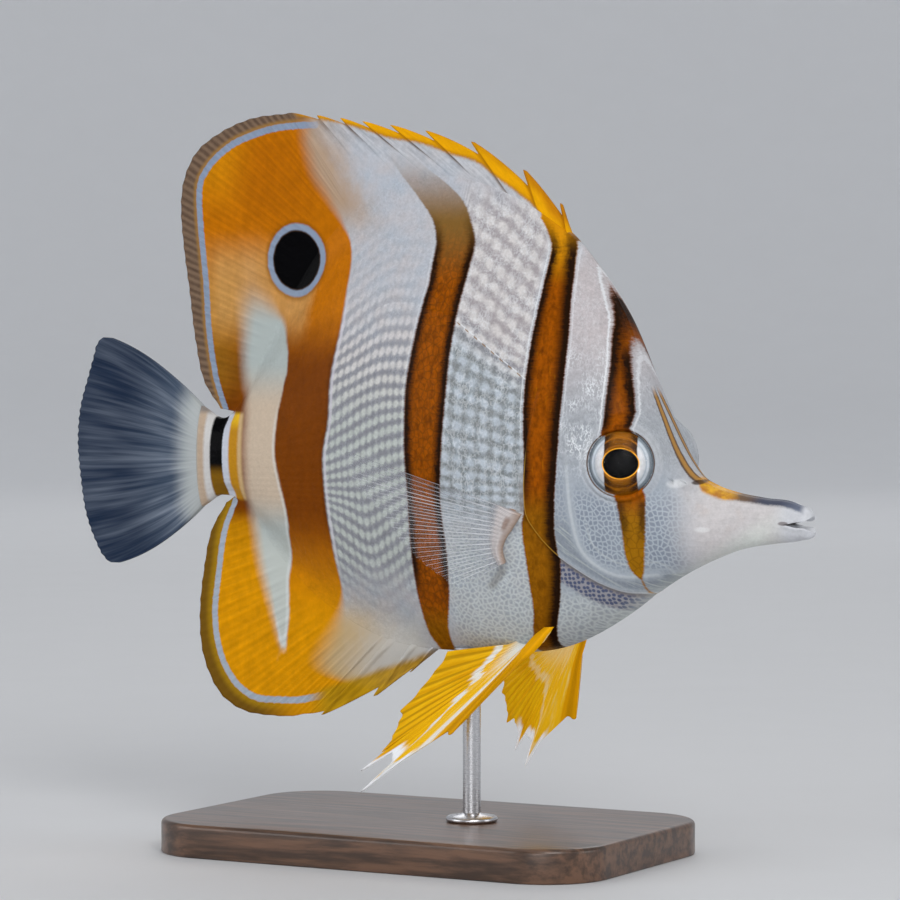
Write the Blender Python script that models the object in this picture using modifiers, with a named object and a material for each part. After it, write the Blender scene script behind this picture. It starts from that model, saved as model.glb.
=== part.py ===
"""Copperband butterflyfish, a still life-size model that hangs over a plain stand.

The fish swims along +X with its mid plane at Y = 0, and +Z is up. The origin is on the floor under the
middle of its length. Sizes are in millimetres and places are measured from the fish's own axis, a level
line at AXIS_HEIGHT over the floor. make_mesh turns both into metres over the floor.
"""

import math

import bmesh
import bpy
import numpy as np
from mathutils import Matrix, Vector

MM = 0.001
GAP = 0.3  # what two touching pieces keep between them
SIDES = (("R", -1), ("L", 1))

# Overall places
TOTAL_LENGTH = 150.4
SNOUT_X = TOTAL_LENGTH / 2
FLESH_END_X = -47.5  # where the tail fin meets the tail's root
AXIS_HEIGHT = 72.0
BASE_TOP = -66.0  # a little under the lowest pelvic filament
OVER_X = 80.0  # these three lie past every edge of the fish, for the cutters
OVER_BACK = 60.0
UNDER_BELLY = -50.0
OVER_SIDE = 40.0

# Colours
SILVER = (0.70, 0.72, 0.74)
HEAD_SILVER = (0.66, 0.69, 0.72)
COVER_SILVER = (0.62, 0.66, 0.70)
CREAM = (0.75, 0.68, 0.55)
LIP_PINK = (0.80, 0.74, 0.72)
EYE_BLACK = (0.02, 0.02, 0.02)
SPINE_GOLD = (0.86, 0.45, 0.03)
RAY_ORANGE = (0.86, 0.42, 0.04)
PELVIC_GOLD = (0.95, 0.66, 0.05)
TAIL_BLUE = (0.33, 0.40, 0.55)
CLEAR_GREY = (0.78, 0.80, 0.83)
WOOD_DARK = (0.09, 0.055, 0.035)
STEEL_GREY = (0.60, 0.60, 0.62)

# Outline of the flesh without its fins, seen from the side: x, z
BACK_LINE = [
    (75.2, -12.0), (74.7, -10.5), (73.8, -9.1), (72.0, -8.1), (66.0, -7.2), (61.0, -6.4), (56.5, -5.0),
    (53.5, -3.3), (50.6, 0.6), (47.4, 6.8), (43.5, 14.9), (39.6, 23.6), (35.7, 30.1), (31.5, 35.6),
    (25.8, 40.3), (18.6, 44.5), (11.6, 47.2), (4.4, 48.6), (-2.6, 48.2), (-9.0, 46.0), (-16.0, 41.4),
    (-21.6, 35.6), (-26.5, 28.9), (-30.8, 22.2), (-34.7, 15.4), (-37.7, 9.9), (-40.2, 6.3), (-43.0, 5.0),
    (-47.5, 7.2),
]
BELLY_LINE = [
    (75.2, -12.9), (74.4, -13.5), (72.6, -14.1), (67.8, -14.8), (62.5, -15.7), (57.0, -17.7),
    (51.4, -20.4), (46.2, -23.5), (40.3, -27.8), (34.5, -31.3), (28.6, -33.8), (20.7, -35.2),
    (8.6, -35.5), (0.5, -35.3), (-7.6, -34.0), (-16.1, -30.5), (-24.0, -25.5), (-30.9, -18.8),
    (-36.4, -12.3), (-39.9, -9.3), (-43.0, -8.9), (-47.5, -11.2),
]
# Half of the greatest width, the height where it lies, and the half widths of the upper and lower edges
HALF_WIDTH = [
    (75.2, 0.7), (74.5, 1.5), (73.0, 2.1), (70.0, 2.6), (65.0, 3.2), (60.0, 4.1), (55.0, 5.4),
    (50.0, 7.4), (45.0, 9.5), (40.0, 11.0), (35.0, 12.0), (30.0, 12.4), (22.0, 12.8), (12.0, 12.6),
    (0.0, 11.6), (-10.0, 10.1), (-20.0, 8.1), (-30.0, 5.8), (-38.0, 4.1), (-43.0, 3.2), (-47.5, 2.2),
]
WIDEST_AT = [(75.2, -12.5), (68.0, -11.2), (58.0, -11.5), (46.0, -8.0), (34.0, -3.0), (15.0, 0.0),
             (-15.0, 1.0), (-38.0, -1.5), (-47.5, -2.0)]
BACK_EDGE = [(75.2, 0.3), (34.0, 0.3), (26.0, 1.4), (-36.0, 1.3), (-41.0, 0.9), (-47.5, 0.6)]
BELLY_EDGE = [(75.2, 0.3), (12.0, 0.3), (2.0, 1.3), (-36.0, 1.2), (-41.0, 0.9), (-47.5, 0.6)]
# How a section closes: 0.5 is round like an ellipse, over 1 draws in towards a thin edge that bears a fin
BACK_CLOSE = [(75.2, 0.5), (38.0, 0.5), (26.0, 1.1), (10.0, 1.25), (-34.0, 1.2), (-42.0, 0.7), (-47.5, 0.7)]
BELLY_CLOSE = [(75.2, 0.5), (14.0, 0.55), (-4.0, 1.1), (-34.0, 1.15), (-42.0, 0.7), (-47.5, 0.7)]
ROUND = 2.2
STATION_STEP = 2.8
NEAR_TIP = [75.2, 74.9, 74.3, 73.3, 71.8, 69.8, 67.4]
SIDE_POINTS = 13

# Where the flesh is parted: the line behind the gill covers, the tail's root, and the jaws
GILL_LINE = [(31.0, OVER_BACK), (31.0, 36.0), (27.6, 18.0), (25.2, 2.0), (24.9, -7.0), (26.3, -12.0),
             (30.2, -16.8), (35.6, -20.6), (41.0, -22.9), (45.6, -24.0), (49.0, UNDER_BELLY)]
TAIL_CUT_X = -36.0
JAW_CUT_X = 67.6
MOUTH_CORNER_X = 68.9
MOUTH_Z = -11.2
MOUTH_OPEN = 0.085  # how fast the parted lips open ahead of the corner

# Gill covers: raised plates between the preopercle and the gill opening, from top to bottom
COVER_FRONT = [(29.6, 10.4), (33.2, 4.0), (34.2, -5.0), (35.4, -14.4), (38.4, -18.4), (43.4, -21.2)]
COVER_REAR = [(27.6, 10.0), (26.2, 2.5), (25.6, -5.0), (27.6, -12.6), (33.0, -17.9), (41.4, -22.2)]
COVER_DEPTH = 1.6
COVER_RISE = 0.5
POCKET_RISE = 3.0

# Eyes
EYE_RADIUS = 6.4
EYE_CENTRE = (42.6, 7.6, -1.3)
EYE_TURN = math.radians(20)  # how far the eye looks forward from straight out
EYE_BACK = 4.4  # the flat inner face's distance from the mid plane
RIM_RADIUS = 6.6
RIM_TUBE = 0.75
RIM_OUT = 2.7

NOSTRILS = [(52.6, 4.9, -4.9, 0.55), (51.0, 5.7, -4.4, 0.42)]
LIP_TUBE = 0.42
LIP_BACK = 1.3  # how far the lip's line keeps behind the snout's end
LIP_SUNK = 0.1

# Fins: the median ones keep to the mid plane
FIN_ROOT_HALF = 1.25
FIN_EDGE_HALF = 0.3
RIDGE = 0.28
SPINE_SHOULDER = 0.2  # where the web starts beside a spine, as a share of the way to the next one
SPINE_NOTCHES = (0.34, 0.06)  # how far the web falls short of the first and of the last dorsal spines
ANAL_NOTCHES = [0.3, 0.22, 0.06]
SOFT_NOTCH = 0.015
CAUDAL_NOTCH = 0.012
PECTORAL_NOTCH = 0.03
DORSAL_SPINE_TIPS = [(27.0, 43.2), (19.9, 49.2), (9.4, 54.5), (0.0, 56.7), (-7.3, 57.9), (-13.1, 58.7),
                     (-17.7, 59.4), (-22.5, 60.0), (-28.0, 60.6)]
DORSAL_FIRST_X = 29.4
DORSAL_LAST_SPINE_X = -14.0
DORSAL_SOFT_RAYS = 26
DORSAL_SOFT_END_X = -39.8
DORSAL_MARGIN = [(-28.6, 60.6), (-37.1, 59.7), (-43.6, 57.3), (-48.6, 53.9), (-51.3, 49.0), (-52.0, 43.5),
                 (-51.4, 36.5), (-50.2, 28.6), (-48.9, 19.4), (-46.8, 11.4), (-43.4, 6.8)]
ANAL_SPINE_ROOTS_X = [2.6, -1.6, -6.2]
ANAL_SPINE_TIPS = [(-3.2, -39.7), (-10.5, -44.4), (-21.8, -48.5)]
ANAL_SOFT_RAYS = 19
ANAL_SOFT_FIRST_X = -8.6
ANAL_SOFT_END_X = -39.6
ANAL_MARGIN = [(-24.6, -48.4), (-29.8, -49.2), (-36.9, -48.9), (-43.0, -46.2), (-46.9, -40.0),
               (-48.1, -32.0), (-47.2, -23.0), (-45.2, -15.0), (-42.2, -10.4)]
CAUDAL_RAYS = 17
CAUDAL_ROOT_SHARE = 0.92  # the fin's thickness at its root, as a share of the flesh's
CAUDAL_MARGIN = [(-67.4, 19.7), (-69.3, 19.8), (-70.5, 18.9), (-71.6, 16.0), (-72.8, 12.4), (-74.5, 7.0),
                 (-75.2, 0.0), (-74.6, -6.0), (-73.0, -14.2), (-71.2, -18.3), (-69.4, -21.1), (-67.7, -22.2),
                 (-65.9, -22.2)]
CAUDAL_BOW = 1.6  # how far the edge rays swell out half way to their tips
SOFT_FAN = 1.3  # over 1 turns the soft rays' roots forward of their tips

# Pectoral fins: a fleshy root on the flank, and rays that fan out behind it
PECTORAL_RAYS = 13
PECTORAL_ROOT = [(25.6, -10.4), (23.8, -12.9), (22.3, -14.9), (21.6, -16.9), (21.9, -18.8)]
PECTORAL_TIPS = [(-4.9, 0.1), (-4.4, -4.7), (0.4, -10.7), (5.2, -17.6), (12.9, -23.5)]
PECTORAL_SPLAY = math.tan(math.radians(17))
PECTORAL_ROOT_HALF = 0.85
PECTORAL_FLAT = 0.16  # the share of a ray that lies flat on the flank

# Pelvic fins: the tips of the spine and the five soft rays, x, distance from the mid plane, z
PELVIC_ROOT = [(28.0, 6.0), (23.6, 2.4)]  # x and distance from the mid plane, spine to innermost ray
PELVIC_TIPS = {
    "R": [(11.7, 12.2, -49.1), (-4.5, 16.0, -59.9), (-5.3, 14.6, -56.3), (-1.9, 13.2, -53.0),
          (1.0, 11.6, -45.6), (9.3, 9.4, -35.0)],
    "L": [(20.3, 18.6, -48.7), (6.5, 25.0, -58.8), (5.2, 23.4, -55.8), (6.1, 18.6, -50.1),
          (7.6, 14.0, -44.2), (10.2, 9.6, -37.0)],
}
PELVIC_NOTCHES = [0.12, 0.17, 0.1, 0.03, 0.03]
PELVIC_SHOULDER = 0.24
PELVIC_SUNK = 2.0
PELVIC_ROOT_HALF = 0.8

# Stand
BASE_SIZE = (88.0, 56.0)
BASE_CORNER = 12.0
BASE_EDGE = 0.8
ROD_X = 9.0
ROD_RADIUS = 1.6
ROD_SUNK = 4.5
SADDLE_RADIUS = 3.2
SADDLE_HEIGHT = 3.6
SADDLE_SUNK = 2.0  # how far the rod runs up into the flesh before the flesh is cut out of it
COLLAR_RADIUS = 4.6
COLLAR_HEIGHT = 1.6


def through(knots):
    """A smooth function of x through its knots, which never swings past them."""
    xs, ys = (np.array(c, float) for c in zip(*sorted(knots)))
    rises = np.diff(ys) / np.diff(xs)
    before, after = np.append(rises[0], rises), np.append(rises, rises[-1])
    limit = np.where(before * after > 0, 3 * np.minimum(abs(before), abs(after)), 0)
    slopes = np.clip(np.gradient(ys, xs), -limit, limit)

    def value(x):
        x = np.asarray(x, float)
        i = np.clip(np.searchsorted(xs, x) - 1, 0, len(xs) - 2)
        step = xs[i + 1] - xs[i]
        t = np.clip((x - xs[i]) / step, 0, 1)
        return (
            ys[i] * (1 + 2 * t) * (1 - t) ** 2
            + ys[i + 1] * t**2 * (3 - 2 * t)
            + slopes[i] * step * t * (1 - t) ** 2
            - slopes[i + 1] * step * t**2 * (1 - t)
        )

    return value


def along(points):
    """A smooth curve through points, as a function of the share of its length."""
    points = np.array(points, float)
    length = np.concatenate([[0], np.cumsum(np.linalg.norm(np.diff(points, axis=0), axis=1))])
    axes = [through(list(zip(length / length[-1], column))) for column in points.T]
    return lambda share: np.stack([axis(share) for axis in axes], axis=-1)


back = through(BACK_LINE)
belly = through(BELLY_LINE)
widest = through(HALF_WIDTH)
widest_at = through(WIDEST_AT)
back_edge = through(BACK_EDGE)
belly_edge = through(BELLY_EDGE)
back_close = through(BACK_CLOSE)
belly_close = through(BELLY_CLOSE)


def half_width(x, z):
    """The flesh's half width at a place in the mid plane."""
    middle = widest_at(x)
    upper = z >= middle
    reach = np.where(upper, back(x) - middle, middle - belly(x))
    edge = np.where(upper, back_edge(x), belly_edge(x))
    close = np.where(upper, back_close(x), belly_close(x))
    share = np.clip(np.abs(z - middle) / reach, 0, 1)
    return edge + (widest(x) - edge) * (1 - share**ROUND) ** close


def belly_height(x, y):
    """The height of the under side at a distance y from the mid plane."""
    edge = belly_edge(x)
    inner = np.clip((y - edge) / (widest(x) - edge), 0, 1) ** (1 / belly_close(x))
    return widest_at(x) - (widest_at(x) - belly(x)) * (1 - inner) ** (1 / ROUND)


def make_mesh(name, vertices, faces):
    """A mesh of faces whose normals point out, from millimetres about the fish's axis."""
    mesh = bpy.data.meshes.new(name)
    world = [(x * MM, y * MM, (z + AXIS_HEIGHT) * MM) for x, y, z in vertices]
    mesh.from_pydata(world, [], faces)
    work = bmesh.new()
    work.from_mesh(mesh)
    bmesh.ops.recalc_face_normals(work, faces=work.faces)
    work.to_mesh(mesh)
    work.free()
    return mesh


def link(name, mesh, collection):
    piece = bpy.data.objects.new(name, mesh)
    collection.objects.link(piece)
    return piece


def cutter(name, mesh):
    piece = link(name, mesh, bpy.data.collections["cutters"])
    piece.hide_render = True
    piece.display_type = "WIRE"
    return piece


def apply_modifiers(piece):
    bpy.context.view_layer.update()
    evaluated = piece.evaluated_get(bpy.context.evaluated_depsgraph_get())
    mesh = bpy.data.meshes.new_from_object(evaluated)
    piece.modifiers.clear()
    piece.data = mesh


def boolean(piece, operation, others):
    """Applies one Boolean of a collection of closed pieces, removes them and keeps the largest surface."""
    group = bpy.data.collections.new(f"{piece.name}_{operation.lower()}")
    bpy.context.scene.collection.children.link(group)
    for other in others:
        group.objects.link(other)
    modifier = piece.modifiers.new(operation.lower(), "BOOLEAN")
    modifier.operand_type = "COLLECTION"
    modifier.collection = group
    modifier.operation = operation
    apply_modifiers(piece)
    for other in others:
        bpy.data.objects.remove(other)
    bpy.data.collections.remove(group)
    keep_largest(piece)


def keep_largest(piece):
    """Drops every closed surface of the piece but the one with the most faces."""
    work = bmesh.new()
    work.from_mesh(piece.data)
    left = set(work.faces)
    shells = []
    while left:
        shell = set()
        edge_faces = [left.pop()]
        while edge_faces:
            face = edge_faces.pop()
            shell.add(face)
            for edge in face.edges:
                fresh = [f for f in edge.link_faces if f in left]
                left.difference_update(fresh)
                edge_faces.extend(fresh)
        shells.append(shell)
    largest = max(shells, key=len)
    spare = [face for face in work.faces if face not in largest]
    bmesh.ops.delete(work, geom=spare, context="FACES")
    work.to_mesh(piece.data)
    work.free()


def prism(name, outline):
    """A closed outline in the mid plane's x and z, drawn out to both sides."""
    count = len(outline)
    vertices = [(x, side * OVER_SIDE, z) for side in (-1, 1) for x, z in outline]
    faces = [list(range(count)), list(range(2 * count - 1, count - 1, -1))]
    faces += [[i, (i + 1) % count, (i + 1) % count + count, i + count] for i in range(count)]
    return cutter(name, make_mesh(name, vertices, faces))


def shifted(line, distance):
    """A line moved sideways by a distance, to the right of its direction where that is positive."""
    line = np.array(line, float)
    direction = np.gradient(line, axis=0)
    direction /= np.linalg.norm(direction, axis=1)[:, None]
    return [tuple(p) for p in line + distance * np.stack([direction[:, 1], -direction[:, 0]], axis=1)]


def stations():
    """The places of the flesh's sections, closer together near the lips."""
    rest = np.arange(NEAR_TIP[-1], FLESH_END_X, -STATION_STEP)[1:]
    return np.concatenate([NEAR_TIP, rest, [FLESH_END_X]])


def flesh(name, grow=0.0):
    """Head, trunk and tail in one closed loft, or a larger copy to cut a neighbour with."""
    turn = np.linspace(-1, 1, SIDE_POINTS)
    xs = stations()
    rings = []
    for x in xs:
        middle = widest_at(x)
        reach = np.where(turn > 0, back(x) - middle, middle - belly(x))
        z = middle + reach * np.sin(turn * math.pi / 2)
        y = half_width(x, z) + grow
        z = z + grow * np.sin(turn * math.pi / 2)
        ring = [(x, -side, height) for side, height in zip(y, z)]
        ring += [(x, side, height) for side, height in zip(y[::-1], z[::-1])]
        rings.append(ring)
    size = 2 * SIDE_POINTS
    faces = [list(range(size)), list(range(len(rings) * size - 1, (len(rings) - 1) * size - 1, -1))]
    for i in range(len(rings) - 1):
        for j in range(size):
            k = (j + 1) % size
            faces.append([i * size + j, i * size + k, (i + 1) * size + k, (i + 1) * size + j])
    vertices = [vertex for ring in rings for vertex in ring]
    return cutter(name, make_mesh(name, vertices, faces))


def lip_height(x, side):
    """The height of the upper or the lower lip's edge, which parts from the other ahead of the corner."""
    return MOUTH_Z + side * (GAP / 2 + max(0.0, x - MOUTH_CORNER_X) * MOUTH_OPEN)


def paint(piece, colour, roughness, metallic=0.0):
    """The piece's own material, and smooth shading but for its real edges."""
    material = bpy.data.materials.new(piece.name)
    material.use_nodes = True
    shader = material.node_tree.nodes["Principled BSDF"]
    shader.inputs["Base Color"].default_value = (*colour, 1)
    shader.inputs["Roughness"].default_value = roughness
    shader.inputs["Metallic"].default_value = metallic
    piece.data.materials.clear()
    piece.data.materials.append(material)
    piece.data.shade_smooth()
    piece.data.set_sharp_from_angle(angle=math.radians(40))


def part_of_flesh(name, outline, colour):
    """One division of the flesh, cut out of it by an outline."""
    piece = link(name, flesh(name + "_whole").data, fish)
    bpy.data.objects.remove(bpy.data.objects[name + "_whole"])
    boolean(piece, "INTERSECT", [prism(name + "_bounds", outline)])
    paint(piece, colour, 0.45)
    return piece


def eye_frame(side):
    """A matrix whose Z axis is the way that the eye looks."""
    x, y, z = EYE_CENTRE
    look = Vector((math.sin(EYE_TURN), side * math.cos(EYE_TURN), 0))
    turn = look.to_track_quat("Z", "Y").to_matrix().to_4x4()
    return Matrix.Translation(Vector((x, side * y, z + AXIS_HEIGHT)) * MM) @ turn


def ball(name, radius, place, segments=22):
    work = bmesh.new()
    bmesh.ops.create_uvsphere(
        work, u_segments=segments, v_segments=segments // 2, radius=radius * MM, matrix=place
    )
    mesh = bpy.data.meshes.new(name)
    work.to_mesh(mesh)
    work.free()
    return cutter(name, mesh)


def ring(name, radius, tube, place, sides=22, tube_sides=6):
    """A closed torus about the Z axis of its place."""
    vertices = []
    faces = []
    for i in range(sides):
        turn = 2 * math.pi * i / sides
        for j in range(tube_sides):
            roll = 2 * math.pi * j / tube_sides
            out = radius + tube * math.cos(roll)
            local = Vector((out * math.cos(turn), out * math.sin(turn), tube * math.sin(roll))) * MM
            vertices.append(place @ local)
            i2 = (i + 1) % sides
            j2 = (j + 1) % tube_sides
            here, there = i * tube_sides, i2 * tube_sides
            faces.append([here + j, there + j, there + j2, here + j2])
    mesh = bpy.data.meshes.new(name)
    mesh.from_pydata(vertices, [], faces)
    return cutter(name, mesh)


def half_space(name, side, distance):
    """All that lies further out than a distance from the mid plane, on one side."""
    near, far = side * distance, side * OVER_SIDE
    vertices = [(x, y, z) for x in (0, OVER_X) for y in (near, far) for z in (UNDER_BELLY, OVER_BACK)]
    faces = [[0, 1, 3, 2], [4, 6, 7, 5], [0, 4, 5, 1], [2, 3, 7, 6], [0, 2, 6, 4], [1, 5, 7, 3]]
    return cutter(name, make_mesh(name, vertices, faces))


def make_eye(letter, side):
    eye = link("eye_" + letter, ball("eye_ball", EYE_RADIUS, eye_frame(side)).data, fish)
    bpy.data.objects.remove(bpy.data.objects["eye_ball"])
    boolean(eye, "INTERSECT", [half_space("eye_front", side, EYE_BACK)])
    paint(eye, EYE_BLACK, 0.05)


def cover_grid(side, rise, depth, margin):
    """Both faces of a gill cover, or of the pocket that takes it when a margin is given."""
    across = 6
    down = 13
    front, rear = along(COVER_FRONT), along(COVER_REAR)
    outer, inner = [], []
    for i in range(down):
        share = i / (down - 1)
        a, b = front(share), rear(share)
        if margin:
            step = front(min(share + 0.05, 1)) - front(max(share - 0.05, 0))
            step = step / np.linalg.norm(step) * margin
            a, b = (a - step, b - step) if i == 0 else (a, b)
            a, b = (a + step, b + step) if i == down - 1 else (a, b)
        reach = (b - a) / np.linalg.norm(b - a) * margin
        a, b = a - reach, b + reach
        for j in range(across):
            x, z = a + (b - a) * j / (across - 1)
            wide = half_width(x, z)
            lift = rise * (0.35 + 0.65 * j / (across - 1))
            outer.append((x, side * (wide + lift), z))
            inner.append((x, side * (wide - depth), z))
    return sheet_mesh(outer, inner, down, across)


def sheet_mesh(outer, inner, rows, columns):
    """Joins two like grids of points, row by row, into one closed set of triangles."""
    count = rows * columns
    faces = []
    for i in range(rows - 1):
        for j in range(columns - 1):
            a = i * columns + j
            b, c, d = a + 1, a + columns + 1, a + columns
            faces += [[a, b, c], [a, c, d]]
            faces += [[count + a, count + c, count + b], [count + a, count + d, count + c]]
    rim = list(range(columns))
    rim += [i * columns + columns - 1 for i in range(1, rows)]
    rim += [(rows - 1) * columns + j for j in range(columns - 2, -1, -1)]
    rim += [i * columns for i in range(rows - 2, 0, -1)]
    for a, b in zip(rim, rim[1:] + rim[:1]):
        faces += [[a, count + a, count + b], [a, count + b, b]]
    return outer + inner, faces


def make_gill_cover(letter, side):
    plate = make_mesh("gill_cover", *cover_grid(side, COVER_RISE, COVER_DEPTH, 0))
    paint(link("gill_cover_" + letter, plate, fish), COVER_SILVER, 0.4)


def gill_cut(distance):
    """The line behind the gill covers moved sideways, from over the back to under the belly."""
    line = shifted(GILL_LINE, distance)
    return [(line[0][0], OVER_BACK), *line[1:-1], (line[-1][0], UNDER_BELLY)]


def make_head():
    outline = [*gill_cut(-GAP / 2), (JAW_CUT_X, UNDER_BELLY), (JAW_CUT_X, OVER_BACK)]
    head = part_of_flesh("head", outline, HEAD_SILVER)
    rims = []
    for letter, side in SIDES:
        place = eye_frame(side) @ Matrix.Translation((0, 0, RIM_OUT * MM))
        rims.append(ring("rim_" + letter, RIM_RADIUS, RIM_TUBE, place))
    boolean(head, "UNION", rims)
    cutters = []
    for letter, side in SIDES:
        cutters.append(ball("socket_" + letter, EYE_RADIUS + GAP, eye_frame(side)))
        boolean(cutters[-1], "INTERSECT", [half_space("socket_front", side, EYE_BACK - GAP)])
        pocket = make_mesh("pocket", *cover_grid(side, POCKET_RISE, COVER_DEPTH + GAP, GAP))
        cutters.append(cutter("pocket_" + letter, pocket))
        for x, y, z, radius in NOSTRILS:
            place = Matrix.Translation(Vector((x, side * y, z + AXIS_HEIGHT)) * MM)
            cutters.append(ball("nostril", radius, place, 8))
    boolean(head, "DIFFERENCE", cutters)


def make_trunk():
    rear = TAIL_CUT_X + GAP / 2
    part_of_flesh("trunk", [*gill_cut(GAP / 2), (rear, UNDER_BELLY), (rear, OVER_BACK)], SILVER)


def make_tail_root():
    front = TAIL_CUT_X - GAP / 2
    outline = [(front, UNDER_BELLY), (front, OVER_BACK), (-OVER_X, OVER_BACK), (-OVER_X, UNDER_BELLY)]
    part_of_flesh("tail_root", outline, CREAM)


def lip(name, side):
    """A rounded lip round the front of one jaw, from corner to corner."""
    path = []
    steps = 12
    for i in range(steps + 1):
        turn = math.pi * (i / steps - 0.5)
        x = MOUTH_CORNER_X + 0.4 + (SNOUT_X - LIP_BACK - MOUTH_CORNER_X) * math.cos(turn) ** 0.6
        z = lip_height(x, side) + side * LIP_TUBE
        y = math.copysign(half_width(x, z) - LIP_SUNK, turn) * min(1.0, abs(math.sin(turn)) * 1.6)
        path.append((x, y, z))
    curve = bpy.data.curves.new(name, "CURVE")
    curve.dimensions = "3D"
    curve.bevel_depth = LIP_TUBE * MM
    curve.bevel_resolution = 2
    curve.use_fill_caps = True
    spline = curve.splines.new("POLY")
    spline.points.add(len(path) - 1)
    for point, (x, y, z) in zip(spline.points, path):
        point.co = (x * MM, y * MM, (z + AXIS_HEIGHT) * MM, 1)
    holder = cutter(name + "_curve", curve)
    mesh = bpy.data.meshes.new_from_object(holder.evaluated_get(bpy.context.evaluated_depsgraph_get()))
    bpy.data.objects.remove(holder)
    work = bmesh.new()
    work.from_mesh(mesh)
    bmesh.ops.remove_doubles(work, verts=work.verts, dist=MM * 0.001)
    bmesh.ops.recalc_face_normals(work, faces=work.faces)
    work.to_mesh(mesh)
    work.free()
    return cutter(name, mesh)


def make_jaws():
    front = JAW_CUT_X + GAP
    for name, side, far in (("upper_jaw", 1, OVER_BACK), ("lower_jaw", -1, UNDER_BELLY)):
        edge = [(x, lip_height(x, side)) for x in (front, MOUTH_CORNER_X, OVER_X)]
        jaw = part_of_flesh(name, [*edge, (OVER_X, far), (front, far)], LIP_PINK)
        boolean(jaw, "UNION", [lip(name + "_lip", side)])


def foot(curve, x, out):
    """A fin's root beside the flesh's edge at x: outwards is +1 for the back and -1 for the belly."""
    slope = float(curve(x + 0.5) - curve(x - 0.5))
    reach = out * GAP / math.hypot(1, slope)
    return np.array([x - slope * reach, 0.0, float(curve(x)) + reach])


def fin_columns(roots, tips, notches, shoulder=0.0):
    """Ray and membrane lines in turn, each a root, a tip and whether it is a ray.

    A notch is the share of the height by which the membrane falls short of the tips beside it. With a
    shoulder, the membrane starts that share of the way from one ray to the next, which keeps rays slender.
    """
    columns = []
    for i, (root, tip) in enumerate(zip(roots, tips)):
        columns.append((root, tip, True))
        if i + 1 == len(roots):
            break
        places = (shoulder, 0.5, 1 - shoulder) if shoulder else (0.5,)
        for place in places:
            web_root = root + (roots[i + 1] - root) * place
            web_tip = tip + (tips[i + 1] - tip) * place
            columns.append((web_root, web_tip + (web_root - web_tip) * notches[i], False))
    return columns


def median_fin(name, columns, rows, colour, root_half=None, bow=None):
    """A fin in the mid plane, its rays ridges on both of its faces."""
    outer, inner = [], []
    for number, (root, tip, is_ray) in enumerate(columns):
        start = FIN_ROOT_HALF if root_half is None else root_half(root[2])
        for row in range(rows + 1):
            share = row / rows
            half = start + (FIN_EDGE_HALF - start) * share**0.6
            raised = RIDGE * min(1.0, 4 * share) * (1 - 0.45 * share) if is_ray else 0.0
            point = root + (tip - root) * share
            if bow is not None:
                point = point + bow(number / (len(columns) - 1)) * 4 * share * (1 - share)
            outer.append((point[0], half + raised, point[2]))
            inner.append((point[0], -half - raised, point[2]))
    mesh = make_mesh(name, *sheet_mesh(outer, inner, len(columns), rows + 1))
    paint(link(name, mesh, fish), colour, 0.5)


def make_spiny_dorsal():
    roots_x = np.linspace(DORSAL_FIRST_X, DORSAL_LAST_SPINE_X, len(DORSAL_SPINE_TIPS))
    roots = [foot(back, x, 1) for x in roots_x]
    tips = [np.array([x, 0.0, z]) for x, z in DORSAL_SPINE_TIPS]
    notches = np.linspace(*SPINE_NOTCHES, len(tips) - 1)
    median_fin("dorsal_spines", fin_columns(roots, tips, notches, SPINE_SHOULDER), 5, SPINE_GOLD)


def soft_fin_columns(curve, first_x, end_x, out, margin, count):
    """Soft rays whose roots follow the flesh's edge and whose tips follow the fin's margin."""
    shares = np.linspace(0, 1, count)
    edge = along([(x, curve(x)) for x in np.linspace(first_x, end_x, 24)])
    roots = [foot(curve, edge(share**SOFT_FAN)[0], out) for share in shares]
    tips = [np.array([x, 0.0, z]) for x, z in along(margin)(shares)]
    return fin_columns(roots, tips, [SOFT_NOTCH] * (count - 1))


def make_soft_dorsal():
    columns = soft_fin_columns(
        back, DORSAL_LAST_SPINE_X - 0.75, DORSAL_SOFT_END_X, 1, DORSAL_MARGIN, DORSAL_SOFT_RAYS
    )
    median_fin("dorsal_rays", columns, 6, RAY_ORANGE)


def make_anal():
    spine_roots = [foot(belly, x, -1) for x in ANAL_SPINE_ROOTS_X]
    spine_tips = [np.array([x, 0.0, z]) for x, z in ANAL_SPINE_TIPS]
    spines = fin_columns(spine_roots, spine_tips, ANAL_NOTCHES, SPINE_SHOULDER)
    soft = soft_fin_columns(belly, ANAL_SOFT_FIRST_X, ANAL_SOFT_END_X, -1, ANAL_MARGIN, ANAL_SOFT_RAYS)
    join = (spine_roots[-1] + soft[0][0]) / 2, (spine_tips[-1] + soft[0][1]) / 2
    web = (join[0], join[1] + (join[0] - join[1]) * ANAL_NOTCHES[-1], False)
    median_fin("anal_fin", [*spines, web, *soft], 6, RAY_ORANGE)


def make_caudal():
    shares = np.linspace(0, 1, CAUDAL_RAYS)
    root_x = FLESH_END_X - GAP
    top, bottom = float(back(FLESH_END_X)), float(belly(FLESH_END_X))
    roots = [np.array([root_x, 0.0, top - 0.2 + (bottom - top + 0.4) * share]) for share in shares]
    tips = [np.array([x, 0.0, z]) for x, z in along(CAUDAL_MARGIN)(shares)]
    columns = fin_columns(roots, tips, [CAUDAL_NOTCH] * (CAUDAL_RAYS - 1))

    def root_half(z):
        return float(half_width(FLESH_END_X, z)) * CAUDAL_ROOT_SHARE

    def bow(share):
        return np.array([0.0, 0.0, CAUDAL_BOW * (1 - 2 * share)])

    median_fin("caudal_fin", columns, 5, TAIL_BLUE, root_half, bow)


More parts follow.
